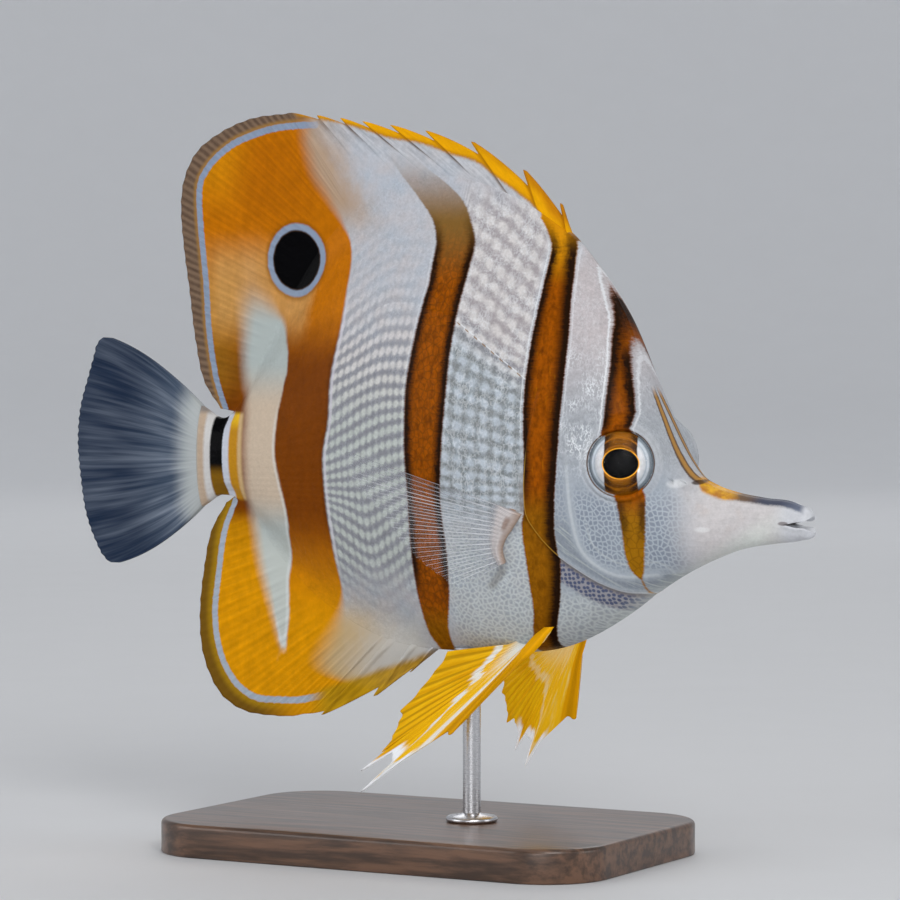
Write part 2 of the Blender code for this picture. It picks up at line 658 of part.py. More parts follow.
def surface_fin(name, grid, halves, colour):
    """A fin with a bent middle surface: grid holds points by line and row, halves its half thickness.

    Its faces stand off along one direction at the root and turn to the surface's own normal by half way out,
    so that the close lines at the root don't cross.
    """
    normal = np.cross(np.gradient(grid, axis=0), np.gradient(grid, axis=1))
    normal /= np.linalg.norm(normal, axis=2)[:, :, None]
    at_root = np.cross(grid[-1, 1] - grid[0, 1], grid[:, -1].mean(axis=0) - grid[:, 1].mean(axis=0))
    at_root /= np.linalg.norm(at_root)
    share = np.clip(np.linspace(-0.2, 2, grid.shape[1]), 0, 1)[None, :, None]
    normal = at_root * (1 - share) + normal * share
    normal /= np.linalg.norm(normal, axis=2)[:, :, None]
    outer = (grid + normal * halves[:, :, None]).reshape(-1, 3)
    inner = (grid - normal * halves[:, :, None]).reshape(-1, 3)
    rows, columns = halves.shape
    vertices, faces = sheet_mesh([tuple(p) for p in outer], [tuple(p) for p in inner], rows, columns)
    fin = link(name, make_mesh(name, vertices, faces), fish)
    boolean(fin, "DIFFERENCE", [flesh("flesh_and_gap", GAP)])
    paint(fin, colour, 0.45)


def make_pectoral(letter, side):
    rows = 5
    lines = 2 * PECTORAL_RAYS - 1
    roots, tips = along(PECTORAL_ROOT), along(PECTORAL_TIPS)
    grid = np.zeros((lines, rows + 1, 3))
    halves = np.zeros((lines, rows + 1))
    for i in range(lines):
        share = i / (lines - 1)
        root, tip = roots(share), tips(share)
        if i % 2:
            tip = tip + (root - tip) * PECTORAL_NOTCH
        length = np.linalg.norm(tip - root)
        for row in range(rows + 1):
            v = row / rows
            x, z = root + (tip - root) * v
            half = PECTORAL_ROOT_HALF + (FIN_EDGE_HALF - PECTORAL_ROOT_HALF) * min(1.0, v * 2.2)
            rise = max(0.0, v - PECTORAL_FLAT) * length * PECTORAL_SPLAY
            grid[i, row] = x, side * (half_width(x, z) + GAP + half + rise), z
            halves[i, row] = half + (0.0 if i % 2 else 0.2 * min(1.0, 4 * v) * (1 - 0.5 * v))
    surface_fin("pectoral_fin_" + letter, grid, halves, CLEAR_GREY)


def make_pelvic(letter, side):
    rows = 7
    tips = [np.array([x, side * y, z]) for x, y, z in PELVIC_TIPS[letter]]
    roots = []
    for x, y in np.linspace(*PELVIC_ROOT, len(tips)):
        roots.append(np.array([x, side * y, float(belly_height(x, y))]))
    columns = fin_columns(roots, tips, PELVIC_NOTCHES, PELVIC_SHOULDER)
    grid = np.zeros((len(columns), rows + 2, 3))
    halves = np.zeros((len(columns), rows + 2))
    inward = np.array([0.5, -0.2 * side, 0.85]) * PELVIC_SUNK
    for i, (root, tip, is_ray) in enumerate(columns):
        grid[i, 0] = root + inward
        halves[i, 0] = PELVIC_ROOT_HALF
        for row in range(rows + 1):
            v = row / rows
            grid[i, row + 1] = root + (tip - root) * v
            thick = PELVIC_ROOT_HALF + (FIN_EDGE_HALF - PELVIC_ROOT_HALF) * v**0.7
            halves[i, row + 1] = thick + (0.25 * min(1, 5 * v) * (1 - v) if is_ray else 0.0)
    surface_fin("pelvic_fin_" + letter, grid, halves, PELVIC_GOLD)


def turned(name, profile, place_x):
    """A solid of revolution about an upright line, from radius and height pairs."""
    sides = 28
    vertices = []
    for radius, z in profile:
        for i in range(sides):
            turn = 2 * math.pi * i / sides
            vertices.append((place_x + radius * math.cos(turn), radius * math.sin(turn), z))
    faces = [list(range(sides)), list(range(len(profile) * sides - 1, (len(profile) - 1) * sides - 1, -1))]
    for k in range(len(profile) - 1):
        for i in range(sides):
            j = (i + 1) % sides
            faces.append([k * sides + i, k * sides + j, (k + 1) * sides + j, (k + 1) * sides + i])
    return make_mesh(name, vertices, faces)


def make_stand():
    floor = -AXIS_HEIGHT
    corners = []
    for i in range(4):
        centre_x = (BASE_SIZE[0] / 2 - BASE_CORNER) * (1 if i in (0, 3) else -1)
        centre_y = (BASE_SIZE[1] / 2 - BASE_CORNER) * (1 if i < 2 else -1)
        for k in range(9):
            turn = math.radians(90 * i + 90 * k / 8)
            x = centre_x + BASE_CORNER * math.cos(turn)
            corners.append((x, centre_y + BASE_CORNER * math.sin(turn)))
    count = len(corners)
    vertices = [(x, y, z) for z in (floor, BASE_TOP) for x, y in corners]
    faces = [list(range(count)), list(range(2 * count - 1, count - 1, -1))]
    faces += [[i, (i + 1) % count, (i + 1) % count + count, i + count] for i in range(count)]
    base = link("stand_base", make_mesh("stand_base", vertices, faces), fish)
    edge = base.modifiers.new("edge", "BEVEL")
    edge.width = BASE_EDGE * MM
    edge.segments = 2
    edge.limit_method = "ANGLE"
    edge.angle_limit = math.radians(60)
    apply_modifiers(base)
    bore = [(ROD_RADIUS + GAP, BASE_TOP - ROD_SUNK - GAP), (ROD_RADIUS + GAP, BASE_TOP + 5)]
    boolean(base, "DIFFERENCE", [cutter("bore", turned("bore", bore, ROD_X))])
    paint(base, WOOD_DARK, 0.4)

    top = float(belly(ROD_X)) + SADDLE_SUNK
    under = float(belly(ROD_X)) - SADDLE_HEIGHT
    collar = BASE_TOP + GAP
    profile = [
        (ROD_RADIUS, BASE_TOP - ROD_SUNK), (ROD_RADIUS, collar), (COLLAR_RADIUS, collar),
        (COLLAR_RADIUS, collar + COLLAR_HEIGHT * 0.5), (ROD_RADIUS, collar + COLLAR_HEIGHT),
        (ROD_RADIUS, under), (SADDLE_RADIUS * 0.75, under + SADDLE_HEIGHT * 0.4),
        (SADDLE_RADIUS, under + SADDLE_HEIGHT * 0.9), (SADDLE_RADIUS, top),
    ]
    rod = link("stand_rod", turned("stand_rod", profile, ROD_X), fish)
    boolean(rod, "DIFFERENCE", [flesh("flesh_and_gap", GAP)])
    paint(rod, STEEL_GREY, 0.3, 1.0)


for old in list(bpy.data.objects):
    bpy.data.objects.remove(old)
fish = bpy.data.collections.new("copperband_butterflyfish")
bpy.context.scene.collection.children.link(fish)
bpy.context.scene.collection.children.link(bpy.data.collections.new("cutters"))

make_head()
make_trunk()
make_tail_root()
make_jaws()
make_spiny_dorsal()
make_soft_dorsal()
make_anal()
make_caudal()
for side_letter, side_sign in SIDES:
    make_eye(side_letter, side_sign)
    make_gill_cover(side_letter, side_sign)
    make_pectoral(side_letter, side_sign)
    make_pelvic(side_letter, side_sign)
make_stand()
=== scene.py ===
"""The looks of a still, life-size copperband butterflyfish over its stand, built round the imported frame.

Lengths are in millimetres and places are measured from the fish's own axis, a level line at AXIS_HEIGHT
over the floor, with +X to the snout, -Y to the fish's right and +Z up. build() turns both into metres.
"""

import math

import bmesh
import bpy
import numpy as np
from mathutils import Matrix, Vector


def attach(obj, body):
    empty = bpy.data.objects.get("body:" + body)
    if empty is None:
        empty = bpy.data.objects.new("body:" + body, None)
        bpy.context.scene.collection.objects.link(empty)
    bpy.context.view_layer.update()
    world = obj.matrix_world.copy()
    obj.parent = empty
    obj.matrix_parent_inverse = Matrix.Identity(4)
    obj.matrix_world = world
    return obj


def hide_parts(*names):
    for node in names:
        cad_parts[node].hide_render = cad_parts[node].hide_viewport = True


bl_info = {
    "name": "Copperband butterflyfish",
    "version": (1, 0, 0),
    "blender": (4, 5, 0),
    "location": "View3D > Sidebar > Fish",
    "description": "Builds the fish's skin, fins, eyes and stand round its frame",
    "category": "Add Mesh",
}

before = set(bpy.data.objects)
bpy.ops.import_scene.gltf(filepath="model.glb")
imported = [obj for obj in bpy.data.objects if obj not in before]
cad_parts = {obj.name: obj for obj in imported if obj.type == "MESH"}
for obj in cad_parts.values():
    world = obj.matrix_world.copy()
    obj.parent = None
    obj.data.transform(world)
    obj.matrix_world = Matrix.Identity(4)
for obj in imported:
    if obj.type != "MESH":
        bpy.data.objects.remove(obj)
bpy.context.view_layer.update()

MM = 0.001
AXIS_HEIGHT = 72.0
TAIL_X = -47.5
GAP = 0.3
SIDES = (("R", -1), ("L", 1))

# Outline of the flesh without its fins, seen from the side: x, z
BACK_LINE = [
    (75.2, -12.0), (74.7, -10.5), (73.8, -9.1), (72.0, -8.1), (66.0, -7.2), (61.0, -6.4), (56.5, -5.0),
    (53.5, -3.3), (50.6, 0.6), (47.4, 6.8), (43.5, 14.9), (39.6, 23.6), (35.7, 30.1), (31.5, 35.6),
    (25.8, 40.3), (18.6, 44.5), (11.6, 47.2), (4.4, 48.6), (-2.6, 48.2), (-9.0, 46.0), (-16.0, 41.4),
    (-21.6, 35.6), (-26.5, 28.9), (-30.8, 22.2), (-34.7, 15.4), (-37.7, 9.9), (-40.2, 6.3), (-43.0, 5.0),
    (-47.5, 7.2),
]
BELLY_LINE = [
    (75.2, -12.9), (74.4, -13.5), (72.6, -14.1), (67.8, -14.8), (62.5, -15.7), (57.0, -17.7),
    (51.4, -20.4), (46.2, -23.5), (40.3, -27.8), (34.5, -31.3), (28.6, -33.8), (20.7, -35.2),
    (8.6, -35.5), (0.5, -35.3), (-7.6, -34.0), (-16.1, -30.5), (-24.0, -25.5), (-30.9, -18.8),
    (-36.4, -12.3), (-39.9, -9.3), (-43.0, -8.9), (-47.5, -11.2),
]
# Half of the greatest width, the height where it lies, and the half widths of the upper and lower edges
HALF_WIDTH = [
    (75.2, 0.7), (74.5, 1.5), (73.0, 2.1), (70.0, 2.6), (65.0, 3.2), (60.0, 4.1), (55.0, 5.4),
    (50.0, 7.4), (45.0, 9.5), (40.0, 11.0), (35.0, 12.0), (30.0, 12.4), (22.0, 12.8), (12.0, 12.6),
    (0.0, 11.6), (-10.0, 10.1), (-20.0, 8.1), (-30.0, 5.8), (-38.0, 4.1), (-43.0, 3.2), (-47.5, 2.2),
]
WIDEST_AT = [(75.2, -12.5), (68.0, -11.2), (58.0, -11.5), (46.0, -8.0), (34.0, -3.0), (15.0, 0.0),
             (-15.0, 1.0), (-38.0, -1.5), (-47.5, -2.0)]
BACK_EDGE = [(75.2, 0.3), (34.0, 0.3), (26.0, 1.4), (-36.0, 1.3), (-41.0, 0.9), (-47.5, 0.6)]
BELLY_EDGE = [(75.2, 0.3), (12.0, 0.3), (2.0, 1.3), (-36.0, 1.2), (-41.0, 0.9), (-47.5, 0.6)]
BACK_CLOSE = [(75.2, 0.5), (38.0, 0.5), (26.0, 1.1), (10.0, 1.25), (-34.0, 1.2), (-42.0, 0.7), (-47.5, 0.7)]
BELLY_CLOSE = [(75.2, 0.5), (14.0, 0.55), (-4.0, 1.1), (-34.0, 1.15), (-42.0, 0.7), (-47.5, 0.7)]
ROUND = 2.2

# The mouth: its corner, its line, the tips of both jaws and how far the lips part at the front
MOUTH_X = 70.4
MOUTH_Z = -11.5
UPPER_TIP_X = 74.9
LOWER_TIP_X = 75.1
LIP_PART = [(70.4, 0.0), (71.4, 0.18), (72.6, 0.46), (74.0, 0.48), (75.2, 0.7)]
LIP_SWELL = 0.16

# The eyes: balls that look forward from straight out, in a ring of skin
EYE_CENTRE = (42.6, 7.6, -1.3)
EYE_TURN = math.radians(20)
EYE_RADIUS = 6.4
RING_RADIUS = 6.05
RING_TOP = 3.0
RING_REACH = 9.2
SOCKET_RADIUS = 5.6
SOCKET_FLOOR = 1.2
PUPIL_RADIUS = 2.62

# Lines on the head, from the bottom up: the gill cover's rear edge, and the ridge of the preopercle
GILL_EDGE = [(45.6, -24.0), (42.5, -23.7), (38.9, -22.2), (35.2, -19.8), (31.2, -16.8), (28.6, -14.0),
             (26.3, -10.0), (26.1, -6.0), (26.4, -1.0), (27.2, 5.0), (28.6, 11.0)]
GILL_RISE = 0.5
CHEEK_RIDGE = [(48.0, -20.6), (43.6, -21.0), (39.2, -19.4), (36.4, -16.4), (35.2, -12.0), (34.4, -5.0),
               (34.0, 1.0), (33.6, 6.0)]
LATERAL_LINE = [(27.5, 11.6), (25.1, 13.5), (20.6, 16.6), (14.3, 21.0), (10.4, 23.5), (5.7, 24.8),
                (1.3, 26.1), (-1.9, 26.1), (-6.7, 24.5), (-11.3, 21.3), (-17.0, 16.5), (-26.0, 9.0)]
NOSTRILS = [(52.6, -4.9, 0.5), (51.0, -4.4, 0.4)]

# How the scale rows lie: they follow the lateral line's arch above it and sag towards the belly
ROW_ARCH = [(45.0, -26.6), (27.0, -14.1), (20.6, -9.5), (14.3, -5.1), (8.0, -1.7), (1.3, 0.0), (-3.0, -0.2),
            (-11.3, -4.8), (-20.0, -11.6), (-45.0, -21.6)]
ROW_SHARE = [(-36.0, -0.3), (-18.0, -0.1), (-6.0, 0.12), (10.0, 0.6), (22.0, 1.0), (60.0, 1.0)]

# Markings: each lies between a rear and a front edge, top to bottom, x, z
EYE_BAND = (
    [(34.4, 33.0), (35.5, 30.9), (37.7, 26.6), (39.1, 23.1), (39.7, 19.4), (40.3, 13.9), (40.3, 9.5),
     (40.4, 4.3), (41.2, -1.3), (42.7, -7.6), (43.5, -12.7), (43.8, -17.9), (44.2, -19.8), (45.3, -21.5)],
    [(38.4, 33.0), (40.2, 28.0), (40.8, 23.5), (41.5, 19.3), (43.0, 13.9), (44.2, 9.4), (45.2, 4.3),
     (46.3, -1.3), (47.4, -7.6), (47.3, -12.7), (46.6, -17.9), (46.2, -19.8), (45.5, -21.5)],
)
GILL_BAND = (
    [(23.6, 41.0), (25.4, 38.5), (26.8, 35.0), (26.6, 26.6), (26.1, 18.0), (25.8, 9.4), (26.0, 0.7),
     (26.1, -7.9), (25.4, -13.1), (25.7, -18.3), (25.8, -25.4), (23.9, -32.7), (22.5, -37.0)],
    [(32.0, 41.0), (30.2, 38.0), (30.9, 35.0), (32.2, 26.6), (33.0, 18.0), (32.9, 9.4), (32.5, 0.8),
     (31.9, -7.8), (31.7, -13.0), (32.1, -18.2), (31.0, -25.2), (28.2, -32.7), (27.2, -37.0)],
)
MID_BAND = (
    [(-9.5, 55.5), (-5.0, 49.5), (-1.0, 45.0), (2.7, 40.8), (4.7, 35.4), (4.8, 30.1), (4.2, 26.6),
     (2.8, 17.9), (1.9, 9.1), (1.9, 1.9), (2.4, -8.5), (2.1, -17.4), (1.8, -26.4), (2.1, -31.9),
     (4.0, -36.5)],
    [(-6.0, 55.5), (-1.5, 51.5), (4.0, 47.8), (8.0, 44.4), (10.3, 40.7), (12.2, 35.4), (12.0, 30.1),
     (11.5, 26.6), (10.7, 17.9), (10.3, 9.2), (9.7, 0.5), (9.3, -8.3), (9.8, -17.1), (8.8, -26.1),
     (6.9, -31.7), (6.4, -36.5)],
)
REAR_FRONT = [(-25.6, 60.0), (-25.0, 54.9), (-23.0, 49.5), (-20.2, 45.4), (-17.2, 41.2), (-14.2, 36.0),
              (-13.2, 30.0), (-13.6, 22.0), (-15.1, 12.4), (-15.3, 5.3), (-16.6, -1.9), (-16.4, -9.0),
              (-15.9, -19.9), (-16.5, -26.5), (-17.9, -31.0), (-20.5, -35.8), (-21.8, -38.4), (-19.5, -41.2),
              (-13.0, -43.0), (-5.0, -44.6), (4.0, -46.0)]
PALE = (
    [(-37.6, 34.0), (-38.3, 28.5), (-38.3, 21.2), (-37.9, 12.8), (-36.4, 7.4), (-36.0, 3.0), (-36.0, -4.0),
     (-36.4, -10.0), (-35.6, -17.1), (-34.0, -24.4), (-32.2, -29.8), (-30.4, -37.0)],
    [(-36.0, 34.0), (-33.8, 29.0), (-31.2, 25.6), (-28.5, 22.2), (-26.3, 17.5), (-25.9, 13.7), (-26.6, 10.5),
     (-27.7, 4.5), (-28.1, -0.7), (-27.1, -6.3), (-26.1, -11.9), (-26.8, -18.0), (-28.1, -24.2),
     (-28.2, -30.0), (-29.2, -37.0)],
)
SPOT = (-26.4, 33.9)  # the false eye on the soft dorsal fin
BLUE_DORSAL = [(-23.1, 58.3), (-29.7, 58.1), (-36.9, 56.6), (-40.6, 55.2), (-43.6, 53.3), (-46.2, 50.8),
               (-47.6, 48.5), (-48.0, 46.0), (-47.7, 40.5), (-47.1, 35.2), (-46.5, 29.8), (-45.9, 21.4),
               (-44.2, 12.0), (-41.4, 4.6)]
BLUE_ANAL = [(-40.0, -10.0), (-42.3, -14.8), (-43.8, -22.9), (-44.7, -30.5), (-44.0, -36.6), (-42.1, -41.1),
             (-39.3, -44.3), (-34.1, -46.2), (-27.9, -46.1), (-21.0, -44.8)]
GOLD_FROM = [(31.0, 36.6), (25.6, 38.2), (22.6, 42.2), (19.2, 44.9), (14.0, 48.3), (10.6, 50.6), (4.8, 52.4),
             (-1.3, 54.4), (-8.1, 55.6), (-12.0, 56.8), (-18.1, 58.4), (-28.0, 60.0)]
# Stripes behind the tail's black bar: x where each starts and is whole, strength, colour
TAIL_STRIPES = (
    (-43.9, -44.4, 1.0, (0.60, 0.59, 0.58)),
    (-45.3, -46.2, 0.85, (0.46, 0.33, 0.22)),
    (-46.8, -48.3, 1.0, (0.46, 0.48, 0.46)),
)
# Small oval marks of the head, among them painted highlights and a painted shade: x, z, half width, half
# height, softness, strength, colour
HEAD_MARKS = (
    (70.4, -11.3, 0.9, 0.35, 0.5, 0.75, (0.16, 0.13, 0.13)),  # painted shade in the corner of the mouth
    (51.9, -4.8, 1.3, 0.7, 0.8, 0.45, (0.86, 0.87, 0.88)),  # painted highlight of wet skin by the nostrils
    (56.4, -12.6, 1.2, 0.45, 0.8, 0.45, (0.86, 0.87, 0.88)),  # painted highlight of wet skin on the snout
    (23.5, -10.0, 1.0, 0.55, 0.5, 0.85, (0.36, 0.15, 0.03)),  # orange over the pectoral root
    (25.6, -10.9, 1.1, 0.9, 0.5, 0.7, (0.74, 0.76, 0.78)),  # white ahead of the pectoral root
)
CROWN_STRIPE = [(44.8, 0.85), (47.0, 1.35), (49.5, 1.9), (52.0, 2.1), (54.0, 1.8), (56.0, 1.0), (57.5, 0.3)]
CROWN_DEPTH = [(54.0, 0.0), (56.0, 1.5), (59.0, 1.5), (62.0, 1.0), (67.0, 0.95), (72.0, 0.9), (75.2, 0.5)]

# Fins of the mid plane
DORSAL_SPINE_TIPS = [(27.0, 43.2), (19.9, 49.2), (9.4, 54.5), (0.0, 56.7), (-7.3, 57.9), (-13.1, 58.7),
                     (-17.7, 59.4), (-22.5, 60.0), (-28.0, 60.6)]
DORSAL_NOTCHES = [0.55, 0.5, 0.3, 0.24, 0.2, 0.16, 0.13, 0.07]
DORSAL_FIRST_X = 29.4
DORSAL_LAST_SPINE_X = -14.0
DORSAL_SOFT_RAYS = 26
DORSAL_SOFT_END_X = -39.8
DORSAL_MARGIN = [(-28.6, 60.6), (-37.1, 59.7), (-43.6, 57.3), (-48.6, 53.9), (-51.3, 49.0), (-52.0, 43.5),
                 (-51.4, 36.5), (-50.2, 28.6), (-48.9, 19.4), (-46.8, 11.4), (-43.4, 6.8)]
ANAL_SPINE_ROOTS_X = [2.6, -1.6, -6.2]
ANAL_SPINE_TIPS = [(-3.2, -39.7), (-10.5, -44.4), (-21.8, -48.5)]
ANAL_NOTCHES = [0.3, 0.24, 0.06]
ANAL_SOFT_RAYS = 19
ANAL_SOFT_FIRST_X = -8.6
ANAL_SOFT_END_X = -39.6
ANAL_MARGIN = [(-24.6, -48.4), (-29.8, -49.2), (-36.9, -48.9), (-43.0, -46.2), (-46.9, -40.0),
               (-48.1, -32.0), (-47.2, -23.0), (-45.2, -15.0), (-42.2, -10.4)]
CAUDAL_RAYS = 17
CAUDAL_MARGIN = [(-67.4, 19.7), (-69.3, 19.8), (-70.5, 18.9), (-71.6, 16.0), (-72.8, 12.4), (-74.5, 7.0),
                 (-75.15, 0.0), (-74.6, -6.0), (-73.0, -14.2), (-71.2, -18.3), (-69.4, -21.1), (-67.7, -22.2),
                 (-65.9, -22.2)]
CAUDAL_BOW = 1.6
SOFT_FAN = 1.3
FIN_SUNK = 0.7
FIN_EDGE = 0.24
SPINE_COLUMNS = 26

# Paired fins
PECTORAL_ROOT = [(25.6, -10.4), (23.8, -12.9), (22.3, -14.9), (21.6, -16.9), (21.9, -18.8)]
PECTORAL_TIPS = [(-4.9, 0.1), (-4.4, -4.7), (0.4, -10.7), (5.2, -17.6), (12.9, -23.5)]
PECTORAL_RAYS = 15
PECTORAL_SPLAY = math.tan(math.radians(17))
PECTORAL_FLAT = 0.16
PELVIC_ROOT = [(28.0, 6.0), (23.6, 2.4)]
PELVIC_TIPS = {
    "R": [(11.7, 12.2, -49.1), (-4.5, 16.0, -59.9), (-5.3, 14.6, -56.3), (-1.9, 13.2, -53.0),
          (1.0, 11.6, -45.6), (9.3, 9.4, -35.0)],
    "L": [(20.3, 18.6, -48.7), (6.5, 25.0, -58.8), (5.2, 23.4, -55.8), (6.1, 18.6, -50.1),
          (7.6, 14.0, -44.2), (10.2, 9.6, -37.0)],
}
PELVIC_NOTCHES = [0.12, 0.17, 0.1, 0.03, 0.03]

# Stand
BASE_TOP = -66.0
BASE_SIZE = (88.0, 56.0)
BASE_CORNER = 12.0
BASE_BEVEL = 0.9
ROD_X = 9.0
ROD_RADIUS = 1.6
SADDLE_RADIUS = 3.2
SADDLE_HEIGHT = 3.6
COLLAR_RADIUS = 4.6
COLLAR_HEIGHT = 1.6

# Floor in metres: how far it lies flat, the radius of its bend, and how high its backdrop stands
FLOOR_FLAT = 1.5
FLOOR_BEND = 0.9
FLOOR_TOP = 2.2

# Lights in metres: name, place, target, width, height, share of the key light's power, colour
MIDDLE = (0.0, 0.0, 0.075)
WARM, PLAIN = (1.0, 0.985, 0.965), (1.0, 1.0, 1.0)
LIGHTS = (
    ("key", (0.75, -0.80, 0.80), MIDDLE, 0.6, 0.6, 1.0, WARM),
    ("fill", (-0.85, -0.85, 0.40), MIDDLE, 0.8, 0.6, 0.5, PLAIN),
    ("rim", (-0.45, 1.00, 0.90), MIDDLE, 0.9, 0.6, 0.45, PLAIN),
    ("ahead", (1.15, 0.25, 0.35), MIDDLE, 0.4, 0.6, 0.25, WARM),
    ("roof", (0.0, 0.0, 2.1), MIDDLE, 2.4, 2.4, 1.6, PLAIN),
    ("low", (0.35, -1.00, 0.08), (0.01, 0.0, 0.05), 0.5, 0.2, 0.22, PLAIN),
)

# Camera in metres, from the photo: its angle round the fish, its height, distance and lens
VIEW_ROUND = math.radians(29)
VIEW_UP = math.radians(2)
VIEW_DISTANCE = 0.7
VIEW_LENS = 157.49
VIEW_TARGET = (0.004573, 0.0, 0.072)


def length(name, text, default):
    """A property that holds a length in millimetres."""
    return bpy.props.FloatProperty(name=name, description=text, default=default, min=0.0, precision=3)


def colour(name, text, default):
    """A property that holds a colour."""
    return bpy.props.FloatVectorProperty(
        name=name, description=text, default=default, subtype="COLOR", size=3, min=0.0, max=1.0
    )


class FishColours(bpy.types.PropertyGroup):
    """Colours of the skin, the fins and the eyes."""

    silver: colour("Silver", "Plain flank", (0.52, 0.50, 0.52))
    frost: colour("Frost", "Bluish silver of the cheek and the upper flank", (0.42, 0.47, 0.54))
    pearl: colour("Pearl", "Light lines, flecks and the outlines of scales", (0.76, 0.78, 0.81))
    slate: colour("Slate", "Grey between the scale rows", (0.225, 0.23, 0.26))
    dusk: colour("Dusk", "Blue grey in the middles of the cheek's cells", (0.115, 0.145, 0.215))
    ink: colour("Ink", "Black of the false eye and the tail bar", (0.001, 0.001, 0.0015))
    soot: colour("Soot", "Dark edges of the bands", (0.016, 0.006, 0.002))
    copper: colour("Copper", "Deep orange of the bands", (0.27, 0.064, 0.0008))
    amber: colour("Amber", "Bright orange of the soft dorsal fin", (0.50, 0.150, 0.0012))
    honey: colour("Honey", "Yellow orange of the anal fin", (0.68, 0.285, 0.0015))
    gold: colour("Gold", "Yellow of the spines and the pelvic fins", (0.90, 0.42, 0.003))
    olive: colour("Olive", "Dark yellow of the anal fin's margin", (0.34, 0.19, 0.008))
    cream: colour("Cream", "Warm white of the tail root", (0.58, 0.47, 0.36))
    sky: colour("Sky", "Pale blue line of the fins and ring of the false eye", (0.25, 0.31, 0.42))
    flesh: colour("Flesh", "Pinkish white of the snout and the pectoral roots", (0.60, 0.57, 0.57))


class FishSizes(bpy.types.PropertyGroup):
    """Sizes of the surface in millimetres."""

    step: length("Grid step", "Distance between the skin's points", 0.27)
    scale_long: length("Scale length", "Distance between scales along a row", 1.43)
    scale_tall: length("Row height", "Distance between rows of scales", 2.55)
    scale_rise: length("Scale relief", "How far a scale's free edge stands up", 0.05)
    ray_rise: length("Ray relief", "How far a soft ray stands up", 0.1)


class StageSettings(bpy.types.PropertyGroup):
    """The stand, the floor and the lights."""

    floor: colour("Floor", "Pale floor and backdrop", (0.66, 0.67, 0.69))
    # Painted light: the floor and backdrop are painted lighter far from the stand, to make up for the lamps'
    # fall-off
    backdrop_painted_light: bpy.props.FloatProperty(
        name="Backdrop", description="How much lighter the floor grows far from the stand",
        default=0.36, min=0.0
    )
    wood: colour("Wood", "Stained wood of the base", (0.080, 0.040, 0.022))
    steel: colour("Steel", "Brushed rod", (0.60, 0.60, 0.62))
    key: bpy.props.FloatProperty(
        name="Key light", description="Power of the main light in watts", default=6.6, min=0.0
    )


def through(knots):
    """A smooth function of x through its knots, which never swings past them."""
    xs, ys = (np.array(c, float) for c in zip(*sorted(knots)))
    rises = np.diff(ys) / np.diff(xs)
    before, after = np.append(rises[0], rises), np.append(rises, rises[-1])
    limit = np.where(before * after > 0, 3 * np.minimum(abs(before), abs(after)), 0)
    slopes = np.clip(np.gradient(ys, xs), -limit, limit)

    def value(x):
        x = np.asarray(x, float)
        i = np.clip(np.searchsorted(xs, x) - 1, 0, len(xs) - 2)
        step = xs[i + 1] - xs[i]
        t = np.clip((x - xs[i]) / step, 0, 1)
        return (
            ys[i] * (1 + 2 * t) * (1 - t) ** 2
            + ys[i + 1] * t**2 * (3 - 2 * t)
            + slopes[i] * step * t * (1 - t) ** 2
            - slopes[i + 1] * step * t**2 * (1 - t)
        )

    return value


def upright(knots):
    """A smooth x as a function of z, from x, z pairs."""
    return through([(z, x) for x, z in knots])


def along(points):
    """A smooth curve through points, as a function of the share of its length."""
    points = np.array(points, float)
    run = np.concatenate([[0], np.cumsum(np.linalg.norm(np.diff(points, axis=0), axis=1))])
    axes = [through(list(zip(run / run[-1], column))) for column in points.T]
    return lambda share: np.stack([axis(share) for axis in axes], axis=-1)


back = through(BACK_LINE)
belly = through(BELLY_LINE)
widest = through(HALF_WIDTH)
widest_at = through(WIDEST_AT)
back_edge = through(BACK_EDGE)
belly_edge = through(BELLY_EDGE)
back_close = through(BACK_CLOSE)
belly_close = through(BELLY_CLOSE)


def half_width(x, z):
    """The flesh's half width at a place in the mid plane."""
    middle = widest_at(x)
    upper = z >= middle
    reach = np.where(upper, back(x) - middle, middle - belly(x))
    edge = np.where(upper, back_edge(x), belly_edge(x))
    close = np.where(upper, back_close(x), belly_close(x))
    share = np.clip(np.abs(z - middle) / reach, 0, 1)
    return edge + (widest(x) - edge) * (1 - share**ROUND) ** close


def belly_height(x, y):
    """The height of the under side at a distance y from the mid plane."""
    edge = belly_edge(x)
    inner = np.clip((y - edge) / (widest(x) - edge), 0, 1) ** (1 / belly_close(x))
    return widest_at(x) - (widest_at(x) - belly(x)) * (1 - inner) ** (1 / ROUND)


def rise(value, low, high):
    """A smooth step from 0 at low to 1 at high."""
    t = np.clip((value - low) / (high - low), 0, 1)
    return t * t * (3 - 2 * t)


def aside(curve, x, z, points=70):
    """Signed distance of places from a curve, positive on its right as it runs."""
    line = along(curve)(np.linspace(0, 1, points))
    best = np.full(np.shape(x), 1e9)
    sign = np.ones(np.shape(x))
    for (ax, az), (bx, bz) in zip(line[:-1], line[1:]):
        dx, dz = bx - ax, bz - az
        t = np.clip(((x - ax) * dx + (z - az) * dz) / (dx * dx + dz * dz), 0, 1)
        far = np.hypot(x - ax - t * dx, z - az - t * dz)
        nearer = far < best
        best = np.where(nearer, far, best)
        sign = np.where(nearer, np.sign((z - az) * dx - (x - ax) * dz), sign)
    return -sign * best


def eye_axes(side):
    """The eye's centre and the directions that it looks, forward across it, and up."""
    x, y, z = EYE_CENTRE
    look = np.array([math.sin(EYE_TURN), side * math.cos(EYE_TURN), 0.0])
    ahead = np.array([math.cos(EYE_TURN), -side * math.sin(EYE_TURN), 0.0])
    return np.array([x, side * y, z]), look, ahead, np.array([0.0, 0.0, 1.0])


